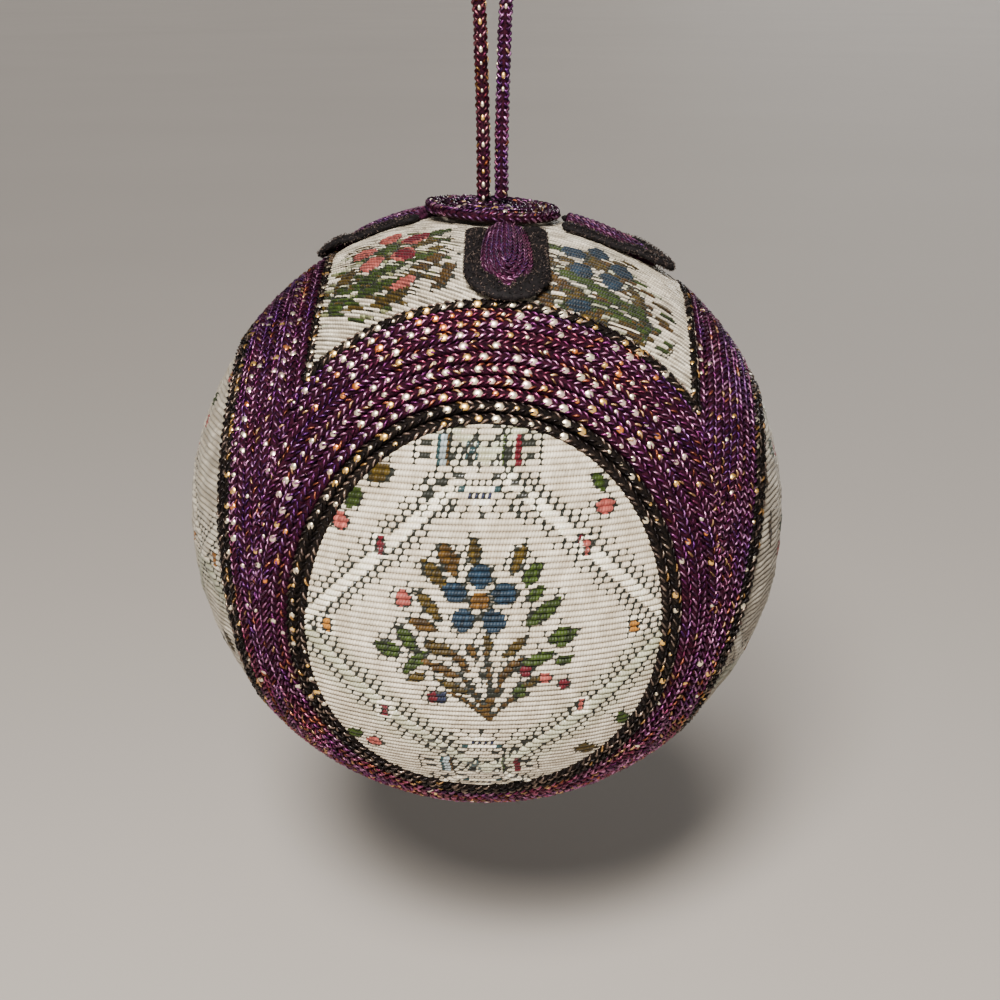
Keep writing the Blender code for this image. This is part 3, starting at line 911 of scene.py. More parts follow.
def border_route(petal):
    low = CLOTH_FACE + GAP + BORDER_CORD / 2
    bend = BORDER_HALF_WIDTH - BORDER_BELOW_TIP
    inner_side = BORDER_HALF_WIDTH - BORDER_CORD / 2
    tops = (petal_top(petal, -inner_side), petal_top(petal, inner_side))
    path = u_turn(BORDER_HALF_WIDTH, tops, bend)
    climb = BORDER_CLIMB * smooth(0.0, 1.0, 1.0 - (path[:, 1] - bend) / BORDER_CLIMB_LENGTH)
    return petal_route(petal, path, low + climb), path


def add_hairs(batch, route, count, reach, length, thick, rng, colours, finish, wider=0.0):
    """Short fibres that stand off a cord in all directions; wider is what its sides have over reach."""
    distances = rng.uniform(0.02, 0.98, count) * route.length
    points, along, across, out = route.at(distances)
    around = rng.uniform(-0.25, 1.25, count)[:, None] * math.pi
    away = across * np.cos(around) + out * np.sin(around)
    lean = unit(away + along * rng.normal(0.0, 0.7, (count, 1)) + np.cross(along, away) * rng.normal(0.0, 0.6, (count, 1)))
    sizes = length * rng.uniform(0.5, 1.0, (count, 1))
    wider = np.interp(distances, route.travelled, np.broadcast_to(wider, route.travelled.shape))
    root = points + away * reach + across * np.cos(around) * wider[:, None]
    curl = unit(along * rng.normal(0.0, 1.0, (count, 1)) + np.cross(along, away) * rng.normal(0.0, 1.0, (count, 1)))
    centres = np.stack([root, root + lean * sizes * 0.5, root + lean * sizes * 0.8 + curl * sizes * 0.4], 1)
    side = np.cross(lean, curl)[:, None] + 0.01 * away[:, None]
    shapes, faces = tubes(centres, np.broadcast_to(side, centres.shape), thick * np.array([1.0, 0.8, 0.35]), 3)
    batch.add(shapes, faces, colours, finish)


BORDER_FLAT = 0.56


def make_border(petal, top, rng, finishes):
    """Fuzzy black cord round a petal."""
    label = petal[0]
    route, path = border_route(petal)
    batch = Batch()
    steps = 110
    distances = np.linspace(0.0, route.length, steps)
    points, along, across, out = route.at(distances)
    # The cord is spread towards the petal, as far as the petal's edge
    asides = np.abs(np.interp(distances, route.travelled, path[:, 0]))
    alongs = np.interp(distances, route.travelled, path[:, 1])
    edge = PETAL_EDGE * petal_width(np.maximum(alongs, 0.0), top)
    reach = np.hypot(np.maximum(asides - edge, 0.0), np.minimum(alongs, 0.0))
    spare = np.clip(reach - BORDER_CORD / 2, 0.0, 0.0016)[:, None]
    middle = unit(petal_place(petal, np.zeros(steps), np.maximum(alongs, 0.004)))
    inward = unit(middle * CLOTH_FACE + BALL_CENTRE - points)
    inward = unit(inward - out * (inward * out).sum(1, keepdims=True))
    points = points + inward * spare * 0.5 - out * (BORDER_CORD / 2 * (1.0 - BORDER_FLAT))
    flow = Route(points, out)
    sides = 10
    angles = math.tau * np.arange(sides) / sides
    lumps = 1.0 + rng.uniform(-0.12, 0.10, (steps, sides, 1))
    wide = (BORDER_CORD / 2 * 0.96 + spare * 0.5)[:, None]
    ring = across[:, None] * np.cos(angles)[:, None] * wide
    ring = ring + out[:, None] * np.sin(angles)[:, None] * (BORDER_CORD / 2 * BORDER_FLAT)
    grid = np.arange(steps * sides).reshape(steps, sides)
    turned = np.roll(grid, -1, axis=1)
    faces = [np.stack([grid[:-1], grid[1:], turned[1:], turned[:-1]], -1), grid[:1], grid[-1:, ::-1]]
    ends = np.clip(np.minimum(distances, route.length - distances) / (BORDER_CORD / 2), 0.0, 1.0)
    ring = ring * np.sqrt(1.0 - 0.95 * (1.0 - ends) ** 2)[:, None, None]
    batch.add(points[:, None] + ring * lumps, faces, srgb(17, 12, 14), 0)
    count = 1750
    tints = srgb(22, 16, 19) + (srgb(126, 108, 98) - srgb(22, 16, 19)) * rng.uniform(size=(count, 1, 1, 1)) ** 4
    wider = wide[:, 0, 0] - BORDER_CORD * 0.36
    add_hairs(batch, flow, count, BORDER_CORD * 0.27, 0.0005, 0.00006, rng, tints, 0, wider)
    name = "fuzzy_border_" + label
    add_piece(name, batch.mesh(name, [finishes["fuzz"]]), "border_" + label)


# Brocade: ribs of slanted floats, with motifs painted on a chart of cells

RIB = 0.76
CELL = 0.38
RIB_SHARES = np.array([0.0, 0.27, 0.73, 1.0])
RIB_HEIGHTS = np.array([-0.15, 0.07, 0.07, -0.15]) * MM
SLANT = 0.5
CLOTH_RADIUS = 39.6
SLOT_DEPTH = 0.12 * MM

CREAM = srgb(220, 211, 194)
SATIN = srgb(255, 248, 230)
SAGE = srgb(184, 186, 162)
STEEL = srgb(22, 42, 60)
SLATE = srgb(160, 176, 184)
TEAL = srgb(34, 60, 64)
OLIVE = srgb(66, 52, 6)
LEAF = srgb(44, 60, 10)
BROWN = srgb(72, 50, 8)
PINK = srgb(158, 78, 72)
CRIMSON = srgb(92, 12, 28)
AMBER = srgb(168, 112, 40)
NAVY = srgb(26, 32, 60)
MOSS = srgb(120, 124, 88)

# The repeat is a bouquet in a curved lozenge, with an upright ornament between lozenges
REPEAT_WIDE = 48.0
REPEAT_TALL = 44.0
LOZENGE_LIFT = 1.8
BAND = 1.05
NET = 4.6
# distances of the dark slots from the band's middle, along a rib, how many of them are there, and how wide
NET_LINES = ((1.4, 0.98, 1.55), (2.6, 0.9, 1.1), (3.8, 0.5, 0.9))

# across, up, half length, half width, angle, tint
PETAL_RING = 3.0
FLOWER = (-0.9, 7.1)
LEAVES = (
    (-1.4, 12.9, 1.5, 0.65, 92.0, OLIVE),
    (-4.4, 12.0, 1.9, 1.0, 112.0, BROWN),
    (3.6, 12.0, 1.9, 0.55, 66.0, OLIVE),
    (-6.2, 10.3, 1.9, 0.8, 130.0, OLIVE),
    (5.3, 10.2, 1.6, 0.75, 58.0, LEAF),
    (5.6, 7.8, 1.3, 0.6, 40.0, LEAF),
    (6.6, 5.5, 2.6, 0.75, 38.0, LEAF),
    (9.0, 2.3, 1.7, 1.1, 20.0, LEAF),
    (-6.8, 6.3, 2.2, 0.6, 128.0, OLIVE),
    (-7.5, 3.9, 1.9, 0.6, 160.0, BROWN),
    (-9.4, 1.9, 1.9, 0.7, 122.0, LEAF),
    (-11.8, 0.4, 1.7, 0.95, 165.0, LEAF),
    (-5.6, 0.9, 1.9, 0.7, 156.0, OLIVE),
    (-8.6, -1.2, 2.2, 0.6, 48.0, LEAF),
    (-5.4, -1.9, 2.3, 0.5, 154.0, BROWN),
    (-3.9, -4.4, 2.0, 0.5, 150.0, OLIVE),
    (-3.2, -0.6, 1.7, 0.4, 128.0, BROWN),
    (-8.4, -3.3, 1.0, 0.5, 30.0, OLIVE),
    (3.3, 1.2, 1.9, 0.5, 44.0, OLIVE),
    (6.2, -0.4, 2.1, 0.65, 16.0, LEAF),
    (9.2, -0.9, 1.0, 0.6, 20.0, LEAF),
    (2.9, -1.5, 1.9, 0.5, 44.0, BROWN),
    (5.0, -3.9, 1.4, 0.45, 34.0, OLIVE),
    (3.8, -5.2, 1.0, 0.7, 60.0, LEAF),
    (0.1, 1.8, 1.4, 0.35, 90.0, OLIVE),
    (-1.7, 0.6, 1.4, 0.35, 118.0, BROWN),
)
STEMS = (
    ((0.2, -9.6), (-2.4, -6.6), (-4.6, -5.2)),
    ((0.2, -9.6), (2.2, -6.9), (3.6, -5.6)),
    ((0.0, -8.6), (-1.6, -5.2), (-3.0, -2.6)),
    ((0.0, -8.6), (1.4, -4.4), (2.0, -2.4)),
    ((0.0, -8.0), (0.3, -4.0), (-0.1, 0.6)),
)
BUDS = (
    (-9.9, 6.9, 1.2, 1.0, 90.0, PINK),
    (-6.5, -6.2, 0.9, 0.7, 90.0, CRIMSON),
    (-5.3, -6.2, 0.9, 0.7, 90.0, NAVY),
    (4.6, -2.1, 0.9, 0.8, 90.0, CRIMSON),
    (6.9, -3.3, 0.85, 0.8, 90.0, PINK),
    (9.2, -4.3, 0.75, 0.8, 90.0, CRIMSON),
)
# Spray in the spaces between four lozenges
SPRAY = (
    (6.2, -8.4, 1.2, 1.0, 90.0, PINK),
    (9.6, 4.3, 1.3, 0.9, 0.0, PINK),
    (-9.8, -6.3, 1.4, 0.9, 0.0, PINK),
    (-7.4, 1.0, 1.3, 1.1, 90.0, PINK),
    (7.9, -5.5, 1.7, 0.8, 50.0, LEAF),
    (11.1, -2.4, 1.8, 0.9, 30.0, OLIVE),
    (-10.6, -3.4, 1.4, 0.6, 120.0, LEAF),
    (6.8, 5.2, 1.6, 0.8, 30.0, LEAF),
    (0.0, 9.9, 1.9, 0.9, 90.0, OLIVE),
    (-6.6, 8.3, 1.6, 0.7, 120.0, LEAF),
    (-11.4, 3.2, 1.8, 0.8, 160.0, OLIVE),
    (0.2, -4.0, 2.6, 0.6, 90.0, BROWN),
    (0.4, 3.4, 2.4, 0.6, 80.0, BROWN),
)
CLASPS = (
    (-12.6, 13.1, 0.45, 1.1, CRIMSON),
    (11.0, 13.9, 0.35, 0.9, CRIMSON),
    (11.8, 12.9, 0.45, 0.9, PINK),
    (-12.6, -9.0, 0.5, 1.0, CRIMSON),
    (11.5, -8.1, 0.45, 0.9, PINK),
    (-20.0, 2.2, 0.7, 1.0, AMBER),
    (18.2, 2.5, 0.6, 0.9, AMBER),
)

# Rows of the ornament from its middle towards a bouquet, a letter for each float: slots (i), rings (o), tints
ORNAMENT = (
    "i......TSSBi....iTTi.......Gi..CC......i.",
    "i.ioio.TSSBi....TioT......iGi.iCCi.ioi.i.",
    "i......TSSBi......i.......iGi..CC......i.",
    "......i....i.......i.......i.i..........",
    "....i....i...ioi........ioi.i...i........",
    "...i...ioi......i.i.i.i.i..i..ioi...i....",
    "i.....i......iTTWWWWWWWWWTTi......i.....i",
    "...ioi....i......NiNiNiN....i....ioi.....",
    ".i......i....i....WWWWW..i....i......i...",
    "....i......i....i...i...i.....i......i...",
    "..i.....i.....i.....io....i.....i.....i..",
)
ORNAMENT_TINTS = {"T": TEAL, "S": SLATE, "B": BROWN, "G": LEAF, "C": CRIMSON, "N": NAVY, "W": SATIN}


class Chart:
    """Cells of a cloth: (ribs, strips, floats) arrays of tint, dark slots at their left sides, lift and satin."""

    def __init__(self, half_ribs, half_cells, rng):
        self.rng = rng
        self.half_ribs = half_ribs
        self.half_cells = half_cells
        ribs = 2 * half_ribs
        cells = 2 * half_cells
        shape = (ribs, 3, cells)
        middles = ((RIB_SHARES[1:] + RIB_SHARES[:-1]) / 2)[:, None]
        self.shift = rng.uniform(-0.5, 0.5, (ribs, 1, 1)) * CELL
        self.rib = np.arange(ribs)[:, None, None] - half_ribs + np.zeros(shape, int)
        self.third = np.arange(3)[:, None] + np.zeros(shape, int)
        self.float = np.arange(cells) - half_cells + np.zeros(shape, int)
        self.v = (self.rib + middles) * RIB
        self.u = (self.float + 0.5 + SLANT * (middles - 0.5)) * CELL + self.shift
        uneven = rng.normal(1.0, 0.03, (ribs, 1, 1)) * rng.normal(1.0, 0.055, (ribs, 1, cells))
        self.tint = CREAM * uneven[..., None] * np.ones(shape + (1,))
        self.slot = np.zeros(shape)
        self.lift = np.zeros(shape)
        self.satin = np.zeros(shape)
        self.net = np.zeros(shape)
        self.busy = np.zeros(shape, bool)

    def dice(self):
        """A random share for every float, alike in its three strips."""
        return self.rng.uniform(size=(len(self.u), 1, self.u.shape[2]))

    def paint(self, inside, tint, lift=0.05 * MM, spread=0.16, busy=True):
        shade = np.clip(self.rng.normal(1.0, spread, (len(self.u), 1, self.u.shape[2])), 0.45, 1.7)[..., None]
        self.tint = np.where(inside[..., None], tint * shade, self.tint)
        self.lift = np.where(inside, lift, self.lift)
        self.slot = np.where(inside, 0.0, self.slot)
        self.net = np.where(inside, 0.0, self.net)
        if busy:
            self.busy |= inside

    def turned(self, u, v, angle):
        c = math.cos(math.radians(angle))
        s = math.sin(math.radians(angle))
        return (self.u - u) * c + (self.v - v) * s, (self.v - v) * c - (self.u - u) * s

    def ellipse(self, u, v, half_length, half_width, angle):
        along, aside = self.turned(u, v, angle)
        return (along / half_length) ** 2 + (aside / half_width) ** 2 < 1.0

    def leaf(self, u, v, half_length, half_width, angle):
        along, aside = self.turned(u, v, angle)
        return np.abs(aside) < half_width * (1.0 - (along / half_length) ** 2)

    def block(self, u, v, half_width, half_height):
        return (np.abs(self.u - u) < half_width) & (np.abs(self.v - v) < half_height)

    def near(self, points):
        """Distance in millimetres of every cell from a close row of points."""
        flat = np.stack([self.u.ravel(), self.v.ravel()], -1)
        least = np.full(len(flat), np.inf)
        for start in range(0, len(points), 64):
            away = np.linalg.norm(flat[:, None] - points[None, start:start + 64], axis=-1)
            least = np.minimum(least, away.min(1))
        return least.reshape(self.u.shape)

    def cut(self, where, depth, chance=1.0):
        """Dark slots at the left sides of some cells."""
        shown = where[:, 1:2] & (self.dice() < chance)
        self.slot = np.where(shown, np.maximum(self.slot, depth), self.slot)

    def halo(self):
        """Slots round what has been painted, between the pale floats that bind it."""
        edge = self.busy ^ np.roll(self.busy, 1, 2)
        self.slot = np.where(edge & (self.dice() < 0.85), 0.95, self.slot)
        near = np.zeros_like(self.busy)
        for rows, columns in ((0, 2), (0, -2), (1, 1), (-1, -1), (1, 0), (-1, 0)):
            near |= np.roll(self.busy, (rows, columns), (0, 2))
        ring = near & ~self.busy & ((self.float + 2 * self.rib) % 3 == 0)
        self.cut(ring, 0.95, 0.6)
        self.net = np.where(near & ~self.busy, np.maximum(self.net, 0.55), self.net)


def weave_lattice(chart, du, dv):
    """Pale satin bands round a lozenge, with a net of dark stitches along both their sides."""
    u = np.abs(chart.u - du) / REPEAT_WIDE
    v = np.abs(chart.v - dv) / REPEAT_TALL
    beyond = (u + v - 0.5) * REPEAT_WIDE
    before = np.roll(beyond, 1, 2)
    low = chart.v < dv - 0.6
    fringe = np.abs(beyond) < NET
    chart.tint = np.where((fringe & low)[..., None], 0.6 * chart.tint + 0.4 * SAGE, chart.tint)
    grain = 0.3 + 0.7 * chart.dice()
    chart.net = np.where(fringe, np.maximum(chart.net, grain * smooth(NET, 1.5, np.abs(beyond))), chart.net)
    for line, chance, depth in NET_LINES:
        for side in (-line, line):
            crossed = (beyond - side) * (before - side) < 0
            chart.cut(crossed & fringe, depth, chance)
    band = np.abs(beyond) < BAND
    tints = np.where(low[..., None], SAGE * 1.15, SATIN)
    chart.tint = np.where(band[..., None], tints * (0.94 + 0.12 * chart.dice())[..., None], chart.tint)
    chart.lift = np.where(band, 0.12 * MM, chart.lift)
    chart.satin = np.where(band, 1.0, chart.satin)
    chart.slot = np.where(band, 0.0, chart.slot)
    chart.net = np.where(band, 0.0, chart.net)


def weave_clasps(chart, du, dv):
    for u, v, half_width, half_height, tint in CLASPS:
        chart.paint(chart.block(u + du, v + dv, half_width + 0.5, half_height + 0.3), SATIN, 0.05 * MM, 0.03, busy=False)
        chart.paint(chart.block(u + du, v + dv, half_width, half_height), tint)


def weave_ornament(chart, du, dv):
    """Upright ornament between two lozenges, alike above and below its middle."""
    first = int(round(dv / RIB))
    for k, row in enumerate(ORNAMENT):
        letters = np.array(list(row))
        for rib in {first + k, first - k}:
            inside = chart.rib == rib
            place = np.round((chart.u[:, 1:2] - du) / CELL + len(row) / 2 - 0.5).astype(int)
            inside &= (place >= 0) & (place < len(row))
            letter = letters[np.clip(place, 0, len(row) - 1)]
            if 3 <= k:
                core = inside & (np.abs(place - len(row) / 2) < 7)
                chart.paint(core, CREAM, 0.0, 0.02, busy=False)
            chart.cut(inside & np.isin(letter, ("i", "o")), 0.95)
            chart.net = np.where(inside & np.isin(letter, ("i", "o")), 1.0, chart.net)
            for key, tint in ORNAMENT_TINTS.items():
                chart.paint(inside & (letter == key), tint, 0.05 * MM, 0.12, busy=False)


def weave_bouquet(chart, du, dv):
    for stem in STEMS:
        points = smooth_through(np.array([(u + du, v + dv, 0.0) for u, v in stem]))[:, :2]
        chart.paint(chart.near(points) < 0.27, BROWN, 0.04 * MM, 0.25)
    thicket = chart.ellipse(-0.4 + du, -1.4 + dv, 4.4, 3.2, 0.0)
    chart.cut(thicket & (chart.float % 2 == 0), 0.9, 0.35)
    for u, v, half_length, half_width, angle, tint in LEAVES:
        leaf = chart.leaf(u + du, v + dv, half_length + 0.3, half_width + 0.14, angle)
        chart.paint(leaf, tint, 0.09 * MM, 0.35)
        chart.cut(leaf, 0.8, 0.12)
    for u, v, half_length, half_width, angle, tint in BUDS:
        chart.paint(chart.ellipse(u + du, v + dv, half_length, half_width, angle), tint, spread=0.12)
    weave_flower(chart, FLOWER[0] + du, FLOWER[1] + dv, 1.0, STEEL, 0.25 * AMBER + 0.5 * OLIVE)


def weave_flower(chart, u, v, scale, petals, centre):
    for k in range(5):
        angle = math.radians(88.0 + 72.0 * k)
        where = (u + scale * PETAL_RING * math.cos(angle), v + scale * PETAL_RING * math.sin(angle))
        chart.paint(chart.ellipse(*where, 1.45 * scale, 1.35 * scale, math.degrees(angle)), petals, 0.12 * MM, 0.25)
    chart.paint(chart.ellipse(u, v, 1.2 * scale, 1.1 * scale, 0.0), centre, 0.08 * MM, 0.3)


def weave_spray(chart, du, dv):
    for u, v, half_length, half_width, angle, tint in SPRAY:
        chart.paint(chart.leaf(u + du, v + dv, half_length, half_width + 0.2, angle), tint, spread=0.25)


def weave_ground(chart, du, dv):
    """The whole repeat, with the given place of one bouquet in the cloth."""
    places = []
    for a in range(-2, 3):
        for b in range(-2, 3):
            u = du + a * REPEAT_WIDE
            v = dv + LOZENGE_LIFT + b * REPEAT_TALL
            if abs(u) < 50.0 and abs(v) < 55.0:
                places.append((u, v))
    for u, v in places:
        weave_lattice(chart, u, v)
    for u, v in places:
        weave_spray(chart, u + REPEAT_WIDE / 2, v + REPEAT_TALL / 2)
        weave_bouquet(chart, u, v - LOZENGE_LIFT)
        weave_clasps(chart, u, v - LOZENGE_LIFT)
        weave_ornament(chart, u - 0.7, v + REPEAT_TALL / 2 + 0.6)
    chart.halo()


def weave_sheet(name, node, chart, place, inside, finishes, relief=1.0):
    """Mesh of a cloth: every rib is a strip of slanted floats, with the chart's tints on its corners."""
    ribs, _, cells = chart.u.shape
    columns = (np.arange(cells + 1) - chart.half_cells) * CELL
    u = columns + chart.shift[:, 0]
    u = u[:, None] + (SLANT * CELL * (RIB_SHARES - 0.5))[None, :, None]
    v = (np.arange(ribs) - chart.half_ribs)[:, None, None] + RIB_SHARES[None, :, None]
    v = v * RIB + np.zeros(u.shape)
    lift = np.pad(chart.lift[:, 1], ((0, 0), (1, 1)), mode="edge")
    lift = (lift[:, 1:] + lift[:, :-1]) / 2
    slots = np.pad(chart.slot, ((0, 0), (0, 0), (0, 1)))
    crest = (RIB_HEIGHTS > 0).astype(float)[None, :, None]
    height = (lift - SLOT_DEPTH * slots[:, 1])[:, None] * crest + relief * RIB_HEIGHTS[None, :, None]
    height = height + crest * chart.rng.normal(0.0, 0.014, height.shape) * MM
    points, ups = place(u, v)
    points = points + ups * height[..., None]
    kept = inside(u, v)
    whole = kept[:, :-1, :-1] & kept[:, 1:, :-1] & kept[:, :-1, 1:] & kept[:, 1:, 1:]
    grid = np.arange(u.size).reshape(u.shape)
    quads = np.stack([grid[:, :-1, :-1], grid[:, :-1, 1:], grid[:, 1:, 1:], grid[:, 1:, :-1]], -1)[whole]
    used = np.unique(quads)
    number = np.full(u.size, -1)
    number[used] = np.arange(len(used))
    mesh = bpy.data.meshes.new(name)
    flat = points.reshape(-1, 3)[used]
    mesh.vertices.add(len(flat))
    mesh.vertices.foreach_set("co", flat.ravel())
    mesh.loops.add(quads.size)
    mesh.loops.foreach_set("vertex_index", number[quads].ravel())
    mesh.polygons.add(len(quads))
    mesh.polygons.foreach_set("loop_start", np.arange(len(quads)) * 4)
    for finish in finishes:
        mesh.materials.append(finish)
    i, k, j = np.nonzero(whole)
    mesh.polygons.foreach_set("material_index", (chart.satin[i, k, j] > 0.5).astype(int))
    ones = np.ones((len(i), 4, 1))
    tints = np.concatenate([np.repeat(chart.tint[i, k, j][:, None], 4, axis=1), ones], -1)
    thread = mesh.color_attributes.new("thread", "FLOAT_COLOR", "CORNER")
    thread.data.foreach_set("color", np.clip(tints, 0.0, 1.0).ravel())
    left = slots[i, k, j]
    right = slots[i, k, j + 1]
    gaps = np.stack([left, right, right, left], -1)[..., None]
    satin = np.repeat(chart.satin[i, k, j][:, None, None], 4, axis=1)
    figured = np.repeat(chart.busy[i, k, j].astype(float)[:, None, None], 4, axis=1)
    marks = mesh.color_attributes.new("marks", "FLOAT_COLOR", "CORNER")
    net = np.repeat(chart.net[i, k, j][:, None, None], 4, axis=1)
    marks.data.foreach_set("color", np.concatenate([gaps, satin, figured, net], -1).ravel())
    low = i + RIB_SHARES[k]
    high = i + RIB_SHARES[k + 1]
    weave = np.stack([np.stack([j, j + 1, j + 1, j], -1), np.stack([low, low, high, high], -1)], -1)
    layer = mesh.uv_layers.new(name="weave")
    layer.data.foreach_set("uv", weave.astype(float).ravel())
    mesh.update(calc_edges=True)
    mesh.shade_smooth()
    return add_piece(name, mesh, node)


TUCK = 0.55
PATCH_OFFSETS = {"front": (0.0, 0.0), "right": (8.0, -8.0), "back": (1.5, -1.0), "left": (-8.0, 0.0)}


# Painted shade: the left and right patches are darkened as they lie in shade at the sides of the ball, and the back
# patch is a little darker
SIDE_SHADE_TONES = {"front": 1.0, "right": 0.55, "back": 0.94, "left": 0.58}


def make_patches(finishes):
    cloths = (finishes["brocade"], finishes["satin"])
    for number, (label, side) in enumerate(SIDES):
        rng = np.random.default_rng(500 + number)
        tone = SIDE_SHADE_TONES[label]
        middle = PATTERN @ direction(side, OVAL_LATITUDE)
        latitude = math.degrees(math.asin(middle[2]))
        chart = Chart(40, 64, rng)
        weave_ground(chart, *PATCH_OFFSETS[label])
        # Painted shade on the side patches
        chart.tint = chart.tint * tone
        if label in ("left", "right"):
            chart.slot *= 0.72
            chart.net *= 0.5
            runs = (chart.float + chart.half_cells + 2 * (chart.rib + chart.half_ribs)) // 7
            chart.tint = chart.tint * rng.uniform(0.75, 1.2, (80, 60))[chart.rib + chart.half_ribs, runs][..., None]

        def towards(u, v):
            lat = latitude + np.degrees(v / CLOTH_RADIUS)
            lon = side + np.degrees(u / (CLOTH_RADIUS * np.cos(np.radians(lat))))
            return direction(lon, lat)

        def place(u, v):
            ways = towards(u, v)
            _, share = outside_oval(ways @ PATTERN, side)
            radius = CLOTH_FACE + PATCH_CROWN * (1.0 - np.clip(share, 0.0, 1.0) ** 2)
            if label in ("left", "right"):
                radius = radius + 0.09 * MM * np.sin(0.9 * u + 0.5 * v) * np.sin(0.35 * u - 1.1 * v + number)
            return BALL_CENTRE + ways * radius[..., None], ways

        def inside(u, v):
            beyond, _ = outside_oval(towards(u, v) @ PATTERN, side)
            return beyond < math.degrees(TUCK / CLOTH_RADIUS)

        name = "brocade_" + label
        piece = weave_sheet(name, "patch_" + label, chart, place, inside, cloths)


# Flowers and leaves of the top and bottom cloths, in plan: across and towards the back
TOP_FLOWERS = ((-16.0, -9.4, 1.2, PINK, LEAF), (11.2, -12.8, 1.15, STEEL, OLIVE), (-12.5, 11.0, 1.2, AMBER, BROWN), (13.0, 11.5, 1.2, PINK, LEAF))
BOTTOM_FLOWERS = ((-9.0, -5.0, 1.0, STEEL, AMBER), (9.5, 6.5, 1.0, PINK, LEAF))
# across and back from the flower, half length, half width, angle, tint
FLOWER_LEAVES = (
    (5.2, -1.2, 2.6, 0.45, 12.0, OLIVE),
    (6.4, 1.6, 2.4, 0.45, 20.0, LEAF),
    (5.6, -3.6, 2.2, 0.5, 8.0, OLIVE),
    (1.8, -5.4, 5.4, 0.55, 9.0, LEAF),
    (-2.6, -7.0, 4.6, 0.6, 14.0, LEAF),
    (3.2, -8.4, 3.0, 0.8, 20.0, OLIVE),
    (-1.6, -9.4, 3.6, 0.6, 8.0, LEAF),
    (5.8, -6.6, 2.4, 0.7, 40.0, BROWN),
    (-6.2, -4.4, 2.4, 0.9, 60.0, OLIVE),
    (-7.2, -8.6, 2.6, 1.0, 80.0, LEAF),
    (-4.4, 4.4, 2.2, 0.5, 150.0, OLIVE),
    (7.6, -10.6, 2.6, 0.7, 60.0, BROWN),
    (0.6, -12.6, 3.2, 0.7, 14.0, OLIVE),
)


def weave_streaks(chart, u, v, half_wide, half_tall, tints, chance):
    """Short floats of leaf tints, scattered round a flower."""
    rows = chart.rib + chart.half_ribs
    runs = (chart.float + chart.half_cells + 2 * rows) // 6
    width = runs.max() + 1
    dice = chart.rng.uniform(size=(len(chart.u), width))[rows, runs]
    pick = chart.rng.integers(0, len(tints), (len(chart.u), width))[rows, runs]
    strips = chart.rng.integers(0, 3, (len(chart.u), width))[rows, runs]
    along, aside = chart.turned(u, v, 0.0)
    thin = 1.0 - 0.6 * smooth(0.5, 1.0, np.hypot(along / half_wide, aside / half_tall))
    shown = chart.ellipse(u, v, half_wide, half_tall, 0.0) & (dice < chance * thin)
    for number, tint in enumerate(tints):
        chart.paint(shown & (pick == number) & (chart.third <= strips), tint, 0.06 * MM, 0.3, busy=False)
    chart.cut(shown ^ np.roll(shown, 1, 2), 0.9, 0.7)


def weave_garden(chart, flowers):
    rows = chart.rib + chart.half_ribs
    runs = (chart.float + chart.half_cells + 2 * rows) // 4
    strips = chart.rng.integers(1, 4, (len(chart.u), runs.max() + 1))[rows, runs]
    for u, v, scale, petals, centre in flowers:
        streaks = (LEAF, OLIVE, MOSS, SAGE) if petals is PINK else (OLIVE, BROWN, LEAF, SAGE)
        weave_streaks(chart, u * 1.1, v * 1.5, 11.0, 10.0, streaks, 0.78)
        away = -math.copysign(1.0, u)
        front = math.copysign(1.0, -v)
        for du, dv, half_length, half_width, angle, tint in FLOWER_LEAVES:
            turn = angle if away * front > 0 else 180.0 - angle
            where = (u + away * du * scale * 0.8, v + front * dv * scale * 0.8)
            leaf = chart.leaf(*where, half_length * scale, (half_width + 0.2) * scale, turn) & (chart.third < strips)
            chart.paint(leaf, tint, spread=0.32)
        bud = (u + away * 2.2, v - front * 9.8)
        chart.paint(chart.ellipse(*bud, 1.7, 1.1, 20.0), petals, 0.08 * MM, 0.2)
        weave_flower(chart, u, v, scale, petals, centre)
        if petals is PINK:
            for angle in (18.0, 306.0):
                spot = (u + scale * 3.2 * math.cos(math.radians(angle)), v + scale * 3.2 * math.sin(math.radians(angle)))
                chart.paint(chart.ellipse(*spot, 1.6 * scale, 0.9 * scale, angle), CRIMSON, 0.08 * MM, 0.2)
    chart.halo()


def weft_bend(u):
    """How far the weft is pulled towards the back, by how far across it is: to the left it runs aslant."""
    return -0.27 * u + 0.42 * 6.0 * (np.log(np.cosh(u / 6.0)))


